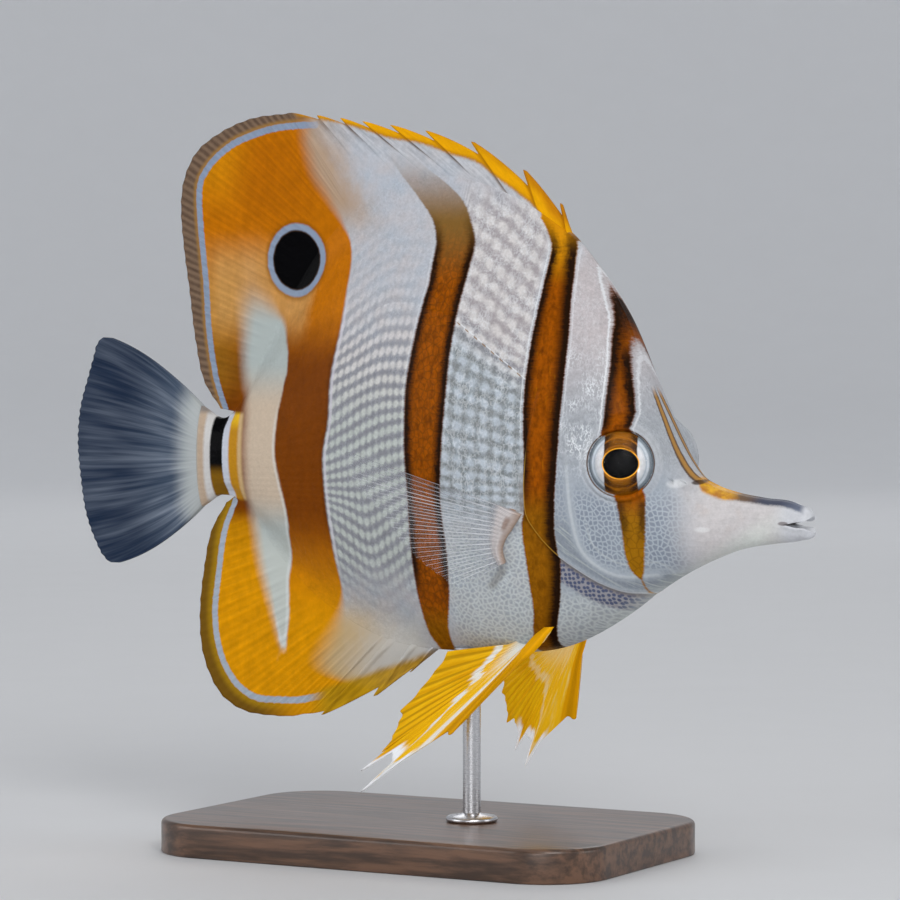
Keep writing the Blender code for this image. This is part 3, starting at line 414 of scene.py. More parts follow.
def build(name, points, faces, material, fields=None):
    """A smooth piece from millimetre points about the fish's axis, with its fields and a baking map."""
    mesh = bpy.data.meshes.new(name)
    points = np.asarray(points, float)
    mesh.from_pydata((points + (0, 0, AXIS_HEIGHT)) * MM, [], faces)
    work = bmesh.new()
    work.from_mesh(mesh)
    bmesh.ops.recalc_face_normals(work, faces=work.faces)
    work.to_mesh(mesh)
    work.free()
    mesh.shade_smooth()
    for field, values in (fields or {}).items():
        attribute = mesh.attributes.new(field, "FLOAT_VECTOR", "POINT")
        attribute.data.foreach_set("vector", np.asarray(values, np.float32).ravel())
    baking_map(mesh, points)
    mesh.materials.append(material)
    piece = bpy.data.objects.new(name, mesh)
    bpy.context.scene.collection.objects.link(piece)
    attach(piece, "root")
    return piece


def baking_map(mesh, points):
    """A flat map of both flanks: faces that look to the right lie beside those that look to the left."""
    low = points.min(axis=0)
    span = max(points[:, 0].max() - low[0], points[:, 2].max() - low[2])
    corner = np.zeros(len(mesh.loops), np.int32)
    mesh.loops.foreach_get("vertex_index", corner)
    normals = np.zeros(3 * len(mesh.polygons), np.float32)
    mesh.polygons.foreach_get("normal", normals)
    sizes = np.zeros(len(mesh.polygons), np.int32)
    mesh.polygons.foreach_get("loop_total", sizes)
    left = np.repeat(normals.reshape(-1, 3)[:, 1] > 0, sizes)
    place = points[corner]
    across = (place[:, 0] - low[0]) / span * 0.48 + np.where(left, 0.51, 0.01)
    up = (place[:, 2] - low[2]) / span * 0.98 + 0.01
    layer = mesh.uv_layers.new(name="OFBake")
    layer.data.foreach_set("uv", np.stack([across, up], axis=1).astype(np.float32).ravel())


def grid_faces(numbers):
    """Four-cornered faces between the rows and columns of an array of point numbers."""
    a, b = numbers[:-1, :-1].ravel(), numbers[:-1, 1:].ravel()
    c, d = numbers[1:, 1:].ravel(), numbers[1:, :-1].ravel()
    return np.stack([a, b, c, d], axis=1).tolist()


def ring_faces(rows, columns):
    """Faces round a stack of closed rings of points, then one over the first ring and one over the last."""
    numbers = np.arange(rows * columns).reshape(rows, columns)
    faces = grid_faces(np.concatenate([numbers, numbers[:, :1]], axis=1))
    return [*faces, numbers[0].tolist(), numbers[-1].tolist()]


def fan(roots, tips, v):
    """A grid of points from roots to tips, by column and then by share of the way."""
    return roots[:, None, :] + (tips - roots)[:, None, :] * v[None, :, None]


def closed_sheet(outer, inner):
    """Points and faces of a thin closed body between two like grids of points."""
    rows, columns = outer.shape[:2]
    count = rows * columns
    numbers = np.arange(count).reshape(rows, columns)
    faces = grid_faces(numbers) + grid_faces(numbers[::-1] + count)
    rim = np.concatenate([numbers[0, :], numbers[1:, -1], numbers[-1, -2::-1], numbers[-2:0:-1, 0]])
    ahead = np.roll(rim, -1)
    faces += np.stack([ahead, rim, rim + count, ahead + count], axis=1).tolist()
    return np.concatenate([outer.reshape(-1, 3), inner.reshape(-1, 3)]), faces


class Value:
    """One output of a shader node. Arithmetic on it adds the Math nodes that work it out."""

    def __init__(self, finish, socket):
        self.finish = finish
        self.socket = socket

    def math(self, operation, *others):
        sockets = dict(enumerate((self, *others)))
        return self.finish.node("ShaderNodeMath", {"operation": operation}, sockets)

    def turned(self, operation, other):
        return self.finish.node("ShaderNodeMath", {"operation": operation}, {0: other, 1: self})

    def __add__(self, other):
        return self.math("ADD", other)

    def __sub__(self, other):
        return self.math("SUBTRACT", other)

    def __mul__(self, other):
        return self.math("MULTIPLY", other)

    def __truediv__(self, other):
        return self.math("DIVIDE", other)

    def __pow__(self, other):
        return self.math("POWER", other)

    def __rsub__(self, other):
        return self.turned("SUBTRACT", other)

    __radd__ = __add__
    __rmul__ = __mul__

    def least(self, other):
        return self.math("MINIMUM", other)

    def most(self, other):
        return self.math("MAXIMUM", other)

    def size(self):
        return self.math("ABSOLUTE")

    def wave(self):
        """The cosine of the value in whole turns."""
        return (self * math.tau).math("COSINE")

    def step(self, low, high):
        """A smooth step from 0 at low to 1 at high, or down where low is the greater."""
        sockets = {"Value": self, "From Min": low, "From Max": high}
        return self.finish.node("ShaderNodeMapRange", {"interpolation_type": "SMOOTHSTEP"}, sockets)

    def line(self, middle, half, soft):
        """1 on a line about a middle value, falling to 0 past its half width."""
        return (self - middle).size().step(half + soft, half)


class Finish:
    """A material whose shader is written as expressions on its nodes' outputs."""

    def __init__(self, name, **constants):
        self.material = bpy.data.materials.new(name)
        self.material.use_nodes = True
        self.tree = self.material.node_tree
        self.shader = self.tree.nodes["Principled BSDF"]
        for socket, value in constants.items():
            self.shader.inputs[socket.replace("_", " ")].default_value = value
        inside = self.node("ShaderNodeTexCoord", output="Object")
        millimetres = {0: inside, 1: (1 / MM,) * 3, 2: (0.0, 0.0, -AXIS_HEIGHT)}
        self.place = self.node("ShaderNodeVectorMath", {"operation": "MULTIPLY_ADD"}, millimetres)
        self.x, self.y, self.z = self.parts(self.place)
        self.fine = self.noise(self.place, 2.4, 2.0, 0.6)
        self.grain = self.noise(self.place, 1.05, 3.0, 0.75)
        self.patch = self.noise(self.place, 0.25, 2.0)

    def node(self, kind, settings=None, sockets=None, output=0):
        """Any node: its settings are set first, then its sockets take values or links."""
        made = self.tree.nodes.new(kind)
        for name, setting in (settings or {}).items():
            setattr(made, name, setting)
        for name, value in (sockets or {}).items():
            self.feed(made.inputs[name], value)
        return Value(self, made.outputs[output])

    def feed(self, socket, value):
        if isinstance(value, Value):
            self.tree.links.new(value.socket, socket)
        elif socket.type == "RGBA":
            socket.default_value = (*value, 1.0)
        else:
            socket.default_value = value

    def parts(self, vector):
        split = self.tree.nodes.new("ShaderNodeSeparateXYZ")
        self.tree.links.new(vector.socket, split.inputs[0])
        return [Value(self, socket) for socket in split.outputs]

    def field(self, name):
        """The three numbers of a field that the mesh carries."""
        settings = {"attribute_type": "GEOMETRY", "attribute_name": name}
        return self.parts(self.node("ShaderNodeAttribute", settings, output="Vector"))

    def stretch(self, x, y, z):
        """The place with its axes drawn out, to lay a texture along them."""
        return self.node("ShaderNodeVectorMath", {"operation": "MULTIPLY"}, {0: self.place, 1: (x, y, z)})

    def vector(self, x, y, z):
        return self.node("ShaderNodeCombineXYZ", None, {0: x, 1: y, 2: z})

    def noise(self, place, scale, detail=2.0, roughness=0.5):
        """Noise from about -1 to 1."""
        sockets = {"Vector": place, "Scale": scale, "Detail": detail, "Roughness": roughness}
        return (self.node("ShaderNodeTexNoise", None, sockets) - 0.5) * 2.6

    def cells(self, across, up, scale, feature="DISTANCE_TO_EDGE", randomness=1.0):
        """Flat irregular cells: the distance from their edges, or from their middles with F1."""
        sockets = {"Vector": self.vector(across, up, 0.0), "Scale": scale, "Randomness": randomness}
        settings = {"voronoi_dimensions": "2D", "feature": feature}
        return self.node("ShaderNodeTexVoronoi", settings, sockets, "Distance")

    def mix(self, share, first, second):
        """The first colour where share is 0 and the second where it is 1."""
        settings = {"data_type": "RGBA", "clamp_factor": True}
        return self.node("ShaderNodeMix", settings, {0: share, 6: first, 7: second}, 2)

    def shade(self, base, amount):
        """A colour made lighter or darker by a factor."""
        settings = {"data_type": "RGBA", "blend_type": "MULTIPLY", "clamp_result": False}
        grey = self.node("ShaderNodeCombineColor", None, {0: amount, 1: amount, 2: amount})
        return self.node("ShaderNodeMix", settings, {0: 1.0, 6: base, 7: grey}, 2)

    def bump(self, height, strength=1.0, distance=MM):
        sockets = {"Height": height, "Strength": strength, "Distance": distance}
        return self.node("ShaderNodeBump", None, sockets)

    def wear(self, **sockets):
        """Feeds the shader's own sockets and gives the material."""
        for name, value in sockets.items():
            self.feed(self.shader.inputs[name.replace("_", " ")], value)
        return self.material


def scale_lattice(row, column, tools):
    """How high a point lies on its scale: 0 under the scale ahead of it, 1 at the free rear edge.

    Two sets of rows overlap like tiles. tools gives the whole number below a value, and the greater value.
    """
    floor, greater = tools
    heights = []
    for shift in (0.0, 1.0):
        level = (row - shift) * 0.5 + 0.5
        across = (level - floor(level) - 0.5) * 2.0
        lean = column + shift * 0.5 + across * across * 0.42
        share = 1.0 - (lean - floor(lean))
        heights.append(share * (1.0 - across * across * 0.9))
    return greater(heights[0], heights[1])


def rows_of(x, z):
    """The scale rows' own coordinates: how many scales along, and how many rows up.

    Between the third and the last band the rows rise to the front in the middle and sag in a V lower down.
    """
    sizes = bpy.context.scene.fish_sizes
    arch = through(ROW_SHARE)(z) * through(ROW_ARCH)(x)
    behind = np.clip(x, -18.0, 2.5) + 6.5
    sag = 0.62 * (np.hypot(behind + 0.8, 1.5) - 1.5) * rise(z, -2, -13) * rise(z, -36, -28)
    climb = 0.24 * behind * rise(z, -12, -4) * rise(z, 13, 3) * rise(x, 8, 2)
    row = (z - arch - sag - climb) / sizes.scale_tall
    column = (x - 0.12 * (z - 10) * rise(z, 0, 30)) / sizes.scale_long
    return column, row


def markings(x, z):
    """The fields that lay the markings over flesh and fins alike, one row of three numbers a point."""
    fields = {}
    for name, (rear, front) in (("eye_band", EYE_BAND), ("gill_band", GILL_BAND), ("mid_band", MID_BAND)):
        fields[name] = np.stack([x - upright(rear)(z), upright(front)(z) - x, z], axis=-1)
    rear, front = PALE
    ends = np.minimum(x - upright(rear)(z), upright(front)(z) - x)
    closing = np.minimum((34.0 - z) * 0.35, (z + 37.0) * 0.35)
    ends = np.minimum(ends, closing)
    gold = z - through(GOLD_FROM)(x)
    fields["rear_field"] = np.stack([upright(REAR_FRONT)(z) - x, ends, gold], axis=-1)
    column, row = rows_of(x, z)
    lateral = z - through(LATERAL_LINE)(x)
    fields["scales"] = np.stack([column, row, lateral], axis=-1)
    return fields


def head_fields(x, y, z):
    """Fields of the head: its crown, its distance from the eyes, and its gill lines."""
    centre, look, _, _ = eye_axes(1)
    offset = np.stack([x, np.abs(y), z], axis=-1) - centre
    ahead = offset @ look
    off_axis = np.sqrt(np.maximum((offset**2).sum(axis=-1) - ahead**2, 0))
    near = (x > 18) & (x < 56) & (z < 16)
    gill = np.full(np.shape(x), 20.0)
    ridge = np.full(np.shape(x), 20.0)
    gill[near] = aside(GILL_EDGE, x[near], z[near])
    ridge[near] = aside(CHEEK_RIDGE, x[near], z[near])
    stripe = np.abs(y) - through(CROWN_STRIPE)(x)
    top = through(CROWN_DEPTH)(x) - (back(x) - z)
    return {
        "crown": np.stack([stripe, top, x], axis=-1),
        "head": np.stack([off_axis, gill, ridge], axis=-1),
    }


def relief(x, z):
    """How far the skin stands out from the plain flank."""
    sizes = bpy.context.scene.fish_sizes
    near = (x > 18) & (x < 56) & (z < 16)
    out = np.zeros(np.shape(x))
    gill = aside(GILL_EDGE, x[near], z[near])
    fade = rise(z[near], 12, 6)
    plate = rise(gill, -0.25, 0.15) * np.exp(-np.maximum(gill, 0) / 6.0)
    groove = np.exp(-(((gill + 0.5) / 0.45) ** 2))
    ridge = aside(CHEEK_RIDGE, x[near], z[near])
    out[near] = fade * (GILL_RISE * plate - 0.18 * groove) + 0.16 * np.exp(-((ridge / 0.6) ** 2)) * fade
    column, row = rows_of(x, z)
    lift = scale_lattice(row, column, (np.floor, np.maximum))
    body = rise(x, 30, 22) * rise(x, -46, -40) * rise(back(x) - z, 0.5, 4) * rise(z - belly(x), 0.5, 4)
    out += sizes.scale_rise * (lift - 0.5) * body
    lateral = np.abs(z - through(LATERAL_LINE)(x))
    out += 0.07 * np.exp(-((lateral / 0.35) ** 2)) * rise(x, 28, 26) * rise(x, -26, -20)
    for nx, nz, radius in NOSTRILS:
        off = np.hypot(x - nx, z - nz) / radius
        out += 0.12 * np.exp(-(((off - 1.25) / 0.4) ** 2)) - 0.5 * rise(off, 1.1, 0.5)
    swell = np.exp(-(((x - 21.6) / 2.2) ** 2) - (((z + 13.5) / 4.6) ** 2))
    return out + 0.5 * swell


def ring_of_skin(points):
    """Raises the skin into a ring round each eye and sinks it under the ball."""
    for _, side in SIDES:
        centre, look, _, _ = eye_axes(side)
        offset = points - centre
        ahead = offset @ look
        off_axis = np.sqrt(np.maximum((offset**2).sum(axis=-1) - ahead**2, 0))
        near = (off_axis < RING_REACH) & (ahead > -3)
        reach, height = off_axis[near], ahead[near]
        crest = RING_TOP - 0.55 + 0.55 * np.sqrt(np.clip(1 - ((reach - RING_RADIUS) / 0.62) ** 2, 0, 1))
        slope = rise(reach, RING_REACH, RING_RADIUS + 0.1)
        outer = height + (crest - height) * slope**1.5
        shown = np.where(reach < RING_RADIUS + 0.5, np.maximum(crest, outer), outer)
        shown = np.where(reach > RING_RADIUS, shown, crest)
        sunk = SOCKET_FLOOR + (shown - SOCKET_FLOOR) * rise(reach, SOCKET_RADIUS - 0.35, SOCKET_RADIUS)
        points[near] += (sunk - height)[:, None] * look
    return points


def skin_stations():
    """Places of the skin's sections, closer together where the snout closes."""
    step = bpy.context.scene.fish_sizes.step
    shares = [(-47.5, 0.9), (60.0, 1.0), (68.0, 0.6), (74.0, 0.3), (75.2, 0.15)]
    spacing = through([(x, step * share) for x, share in shares])
    places = [TAIL_X]
    while places[-1] < LOWER_TIP_X:
        places.append(places[-1] + float(spacing(places[-1])))
    places[-1] = LOWER_TIP_X
    return np.array(places)


def jaw_half(upper, turns):
    """Half of the flesh's sections as a grid: the part over or under the mouth's line, right to left.

    turns run from 0 at the mouth's line to 1 in the mid plane.
    """
    xs = skin_stations()
    tip = UPPER_TIP_X if upper else LOWER_TIP_X
    ahead = xs > MOUTH_X
    xs[ahead] = MOUTH_X + (xs[ahead] - MOUTH_X) * (tip - MOUTH_X) / (LOWER_TIP_X - MOUTH_X)
    sign = 1 if upper else -1
    seam = np.where(xs < 58, widest_at(xs), widest_at(58) + (MOUTH_Z - widest_at(58)) * rise(xs, 58, 66))
    blunt = np.minimum(xs, 72.8)
    edge_line = back(blunt) - (xs - blunt) * 0.25 if upper else belly(blunt) + (xs - blunt) * 0.1
    seam = seam + sign * through(LIP_PART)(np.maximum(xs, MOUTH_X)) * ahead
    if upper:
        edge_line = np.maximum(edge_line, seam + 0.5)
    rounding = np.sqrt(np.clip(1 - (np.clip(xs - tip + 1.6, 0, 1.6) / 1.6) ** 2, 0, 1))
    swing = 0.6 * turns + 0.4 * np.sin(turns * math.pi / 2)
    x = np.repeat(xs[:, None], len(turns), axis=1)
    z = seam[:, None] + (edge_line - seam)[:, None] * swing[None, :]
    centre = (seam + edge_line)[:, None] / 2
    at = np.minimum(x, 72.8)
    y = half_width(at, np.clip(z, belly(at) + 0.001, back(at) - 0.001))
    edge = back_edge(x) if upper else belly_edge(x)
    finned = rise(x, TAIL_X + 2, TAIL_X + 8) * rise(x, 26 if upper else 3, 20 if upper else -6)
    y = edge + (y - edge) * (1 - 0.8 * rise(turns, 0.55, 1.0)[None, :] * finned)
    y = y + relief(x.ravel(), z.ravel()).reshape(x.shape)
    lip = np.exp(-(((z - seam[:, None]) * sign - 0.3) / 0.35) ** 2)
    y = y + LIP_SWELL * lip * rise(x, MOUTH_X - 0.8, MOUTH_X + 0.6)
    y = y * rounding[:, None]
    z = centre + (z - centre) * np.maximum(rounding[:, None], 0.02)
    right = np.stack([x, -y, z], axis=-1)
    left = np.stack([x, y, z], axis=-1)[:, ::-1]
    cap_turns = np.linspace(-1, 1, 7)[1:-1]
    aside_of_top = y[:, -1][:, None, None] * cap_turns[None, :, None]
    top = right[:, -1:, :] * (1, 0, 1) + np.array([0, 1, 0]) * aside_of_top
    top[:, :, 2] += sign * 0.12 * (1 - cap_turns**2) * rounding[:, None]
    return np.concatenate([right, top, left], axis=1)


def mouth_lining(upper, edge, first):
    """The roof or the floor of the mouth, between the points of a jaw's right and left lip."""
    across = np.linspace(0, 1, 12)[1:-1]
    right, left = edge[:, 0], edge[:, -1]
    inner = right[:, None, :] + (left - right)[:, None, :] * across[None, :, None]
    deep = (0.35 if upper else -0.35) * rise(np.arange(len(edge)), 0, 12)
    deep = deep * rise(np.arange(len(edge)), len(edge), len(edge) - 14)
    inner[:, :, 2] += deep[:, None] * (1 - (2 * across[None, :] - 1) ** 2)
    numbers = first + np.arange(inner.shape[0] * inner.shape[1]).reshape(inner.shape[:2])
    return inner, numbers


def make_skin_mesh():
    """Points and faces of one skin over head, trunk, tail root, gill covers and jaws, with an open mouth."""
    step = bpy.context.scene.fish_sizes.step
    turns = np.linspace(0, 1, int(52 / step))
    lower = jaw_half(False, turns)
    upper = jaw_half(True, turns)
    corner = int(np.searchsorted(skin_stations(), MOUTH_X, side="right")) - 1
    stations, columns = lower.shape[:2]
    low_numbers = np.arange(stations * columns).reshape(stations, columns)
    up_numbers = low_numbers + stations * columns
    up_numbers[: corner + 1, 0] = low_numbers[: corner + 1, 0]
    up_numbers[: corner + 1, -1] = low_numbers[: corner + 1, -1]
    points = [lower.reshape(-1, 3), upper.reshape(-1, 3)]
    faces = grid_faces(low_numbers) + grid_faces(up_numbers[:, ::-1])
    count = 2 * stations * columns
    shared = None
    for is_upper, shell, numbers in ((True, upper, up_numbers), (False, lower, low_numbers)):
        edge = shell[corner:][:, [0, -1]]
        inner, inner_numbers = mouth_lining(is_upper, edge, count)
        points.append(inner.reshape(-1, 3))
        count += inner.shape[0] * inner.shape[1]
        if shared is None:
            shared = inner_numbers[0].copy()
        inner_numbers[0] = shared
        strip = np.concatenate([numbers[corner:, :1], inner_numbers, numbers[corner:, -1:]], axis=1)
        faces += grid_faces(strip[:, ::-1] if is_upper else strip)
        faces.append([*numbers[-1].tolist(), *inner_numbers[-1, ::-1].tolist()])
    faces.append([*low_numbers[0].tolist(), *up_numbers[0, -2:0:-1].tolist()])
    points = ring_of_skin(np.concatenate(points))
    used, tidy = np.unique(np.concatenate([np.array(f) for f in faces]), return_inverse=True)
    sizes = np.cumsum([0] + [len(f) for f in faces])
    tidy = tidy.tolist()
    faces = [tidy[a:b] for a, b in zip(sizes[:-1], sizes[1:])]
    return points[used], faces


def flank_colour(f, colours):
    """The scaled flank: rows of light scales over grey, white flecks and the lateral line."""
    column, row, lateral = f.field("scales")
    base = f.mix(f.patch.step(-0.9, 0.9), colours.silver, colours.frost)
    between = f.x.step(7.0, 10.0)
    barred = between * lateral.step(1.0, -5.0)
    rows = (row * (1.0 - between * 0.22) + f.patch * (0.09 + between * 0.14) + f.grain * 0.05).wave()
    dashes = (column * (1.0 - between * 0.45) + f.patch * 0.10 + f.grain * 0.06).wave()
    dashes = dashes * (0.18 + 0.36 * rows.step(-0.7, 0.4))
    light = rows * (0.75 - barred * 0.25) + dashes + f.grain * (0.28 + between * 0.34 + barred * 0.2)
    light = light.step(-0.95, 0.95)
    behind = f.x.step(4.5, 1.5) * (0.15 + 0.85 * f.z.step(33.0, 11.0)) * f.x.step(-29.0, -26.0)
    behind = behind * (0.22 + 0.78 * f.z.step(-27.0, -18.0)) * f.z.step(-36.0, -30.0) * f.z.step(44.0, 34.0)
    middle = between * f.z.step(50.0, 40.0) * f.z.step(-15.0, -7.0) * f.x.step(27.0, 25.0)
    shadow = f.mix(barred, colours.slate, (0.18, 0.20, 0.20))
    shadow = f.mix(lateral.step(-1.0, 3.0) * between, shadow, (0.36, 0.325, 0.335))
    bright = f.mix(f.z.step(2.0, 20.0), (0.49, 0.53, 0.50), (0.64, 0.61, 0.60))
    bright = f.mix(barred, bright, (0.46, 0.52, 0.58))
    base = f.mix((behind * 0.95).most(middle * 0.88), base, f.mix(light, shadow, bright))
    pale = f.z.step(-21.0, -31.0) * f.x.step(8.0, 20.0)
    base = f.mix(pale * 0.45, base, (0.47, 0.50, 0.49))
    crystal = f.noise(f.stretch(1.0, 1.0, 0.7), 0.8, 2.0, 0.75).size().step(0.20, 0.02)
    fleck = crystal * (0.10 + between * 0.30) * f.patch.step(-0.7, 0.5)
    base = f.mix(fleck, base, colours.pearl)
    base = f.shade(base, 1.0 + f.fine * 0.08 + f.grain * (0.07 + between * 0.05))
    dotted = (f.x * 0.55).wave().step(-0.7, 0.1)
    along_line = f.x.step(27.0, 25.6) * f.x.step(-10.0, -3.0)
    line = lateral.line(0.0, 0.06, 0.12) * along_line * (0.25 + 0.55 * f.x.step(4.0, 8.0))
    base = f.mix(line * dotted, base, colours.pearl)
    under = lateral.line(-0.20, 0.07, 0.12) * f.x.step(27.0, 25.6) * f.x.step(6.0, 12.0)
    return f.mix(under * (1 - dotted) * 0.8, base, (0.26, 0.14, 0.04)), light


def breast_cells(f, base):
    """Small dark cells low on the flank and on the breast."""
    net = f.cells(f.x * 0.95 + f.z * 0.3, f.z * 1.1 - f.x * 0.25, 1.05)
    low = f.x.step(6.0, 11.0) * f.z.step(-7.0, -16.0) * f.x.step(56.0, 46.0)
    cell = (net + f.grain * 0.06).step(0.0, 0.36)
    return f.mix(low * 0.62, base, f.mix(cell, (0.58, 0.63, 0.62), (0.30, 0.34, 0.38)))


def spot(f, x, z, wide, high, soft=0.5):
    """A soft oval mark on the flank."""
    across, up = (f.x - x) / wide, (f.z - z) / high
    return (across * across + up * up + f.grain * 0.15).step(1.0 + soft, 1.0 - soft)


def head_colour(f, base, colours):
    """Nape, cheek, gill cover, throat and snout, the marks beside the pectoral root with a painted shadow
    below it.
    """
    off_axis, gill, ridge = f.field("head")
    nape = f.x.step(30.0, 33.0) * f.z.step(-9.0, 0.0)
    nape_tone = f.mix(f.z.step(22.0, 4.0), (0.50, 0.455, 0.465), (0.35, 0.375, 0.41))
    base = f.mix(nape * 0.88, base, f.shade(nape_tone, 1.0 + f.grain * 0.20 + f.fine * 0.08))
    strokes = f.noise(f.stretch(1.7, 1.7, 0.75), 0.85, 2.0, 0.75).size().step(0.17, 0.03)
    brushed = f.x.step(30.0, 32.0) * f.x.step(42.5, 39.5) * f.z.step(-16.0, -6.0) * f.z.step(24.0, 9.0)
    strokes = strokes * f.patch.step(-0.6, 0.5) * (brushed * 0.75 + nape * 0.25)
    base = f.mix(strokes, base, (0.80, 0.83, 0.86))
    cheek = f.x.step(25.5, 27.5) * f.x.step(59.0, 51.0) * f.z.step(2.0, -6.0) * f.z.step(-26.5, -22.0)
    base = f.mix(cheek * 0.85, base, (0.36, 0.405, 0.46))
    net = f.cells(f.x + f.z * 0.1, f.z * 0.9, 1.30, "DISTANCE_TO_EDGE", 0.8)
    cell = (net + f.grain * 0.05).step(0.02, 0.28)
    cells_on = ridge.step(0.3, 1.5) * cheek * f.z.step(-4.0, -9.0)
    cells_on = cells_on * f.z.step(-21.0, -18.0) * f.x.step(56.0, 51.0)
    tones = f.mix(cell, (0.42, 0.48, 0.54), f.mix(f.patch.step(-0.5, 0.7), colours.dusk, (0.21, 0.235, 0.29)))
    base = f.mix(cells_on * 0.58, base, tones)
    plate = gill.step(0.2, 1.2) * ridge.step(-0.3, -1.3) * cheek
    base = f.mix(plate * cell * 0.5, base, (0.20, 0.235, 0.295))
    rib = f.noise(f.vector(ridge * 0.22, 0.0, f.x * 0.8 + f.z * 1.1), 1.25, 1.0).step(0.0, 0.6)
    low = f.z.step(-9.0, -14.0)
    base = f.mix(plate * low * 0.75, base, f.mix(rib, (0.23, 0.26, 0.30), (0.52, 0.56, 0.54)))
    base = f.mix(ridge.line(0.0, 0.10, 0.36) * cheek * 0.45, base, (0.62, 0.66, 0.68))
    base = f.mix(ridge.line(2.3, 0.05, 0.3) * cheek * low * 0.3, base, (0.62, 0.66, 0.66))
    base = f.mix(gill.line(0.05, 0.06, 0.18) * f.z.step(10.0, 2.0) * 0.55, base, colours.pearl)
    shadow = gill.line(-0.55, 0.22, 0.4) * f.z.step(0.0, -12.0) * f.x.step(49.0, 44.0)
    base = f.mix(shadow * 0.6, base, (0.16, 0.11, 0.08))
    dots = f.cells(f.x, f.z, 1.35, "F1", 0.45).step(0.52, 0.26)
    strip = gill.line(-2.1, 1.1, 0.9) * f.x.step(29.0, 32.0) * f.x.step(47.0, 42.0) * f.z.step(-12.0, -16.0)
    base = f.mix(strip * 0.7, base, (0.29, 0.265, 0.29))
    base = f.mix(strip * dots * 0.85, base, (0.045, 0.07, 0.16))
    snout = f.x.step(49.0, 58.0)
    streaks = f.noise(f.stretch(0.30, 0.35, 1.3), 0.9, 3.0, 0.7)
    blush = f.patch.step(0.0, 0.9) * f.x.step(68.0, 60.0)
    skin = f.mix(blush * 0.6, colours.flesh, (0.54, 0.43, 0.37))
    skin = f.shade(skin, 1.0 + streaks * 0.15 + f.grain * 0.07)
    base = f.mix(snout * 0.9, base, skin)
    base = f.mix(f.x.step(67.5, 71.5) * 0.7, base, (0.60, 0.63, 0.68))
    throat = (f.z - f.x * 0.62 + 52.0).step(1.5, -3.0) * f.x.step(34.0, 44.0) * f.x.step(72.0, 64.0)
    base = f.mix(throat * 0.75, base, (0.74, 0.79, 0.74))
    # The head's small marks, among them painted highlights of wet skin and a painted shade in the mouth's
    # corner
    for x, z, wide, high, soft, strength, tone in HEAD_MARKS:
        base = f.mix(spot(f, x, z, wide, high, soft) * strength, base, tone)
    # A painted shadow on the flank, below and behind the pectoral root
    down = (f.x - 19.7) * 0.70 + (f.z + 21.7) * 0.71
    across = (f.x - 19.7) * 0.71 - (f.z + 21.7) * 0.70 + f.grain * 0.3
    axil_shadow = across.line(0.0, 0.2, 1.0) * down.line(0.0, 1.5, 2.0)
    base = f.mix(axil_shadow * 0.55, base, (0.17, 0.155, 0.14))
    base = f.mix(off_axis.line(6.6, 0.35, 0.5) * 0.3, base, (0.62, 0.64, 0.67))
    return f.mix(off_axis.line(5.78, 0.06, 0.12) * 0.9, base, (0.10, 0.05, 0.025)), streaks * snout


def band(f, name, wobble, soft=0.22):
    """Masks of one band: inside, and the distances from its rear and front edges."""
    rear, front, _ = f.field(name)
    rear = rear + wobble
    front = front + wobble
    return rear.least(front).step(-soft, soft), rear, front


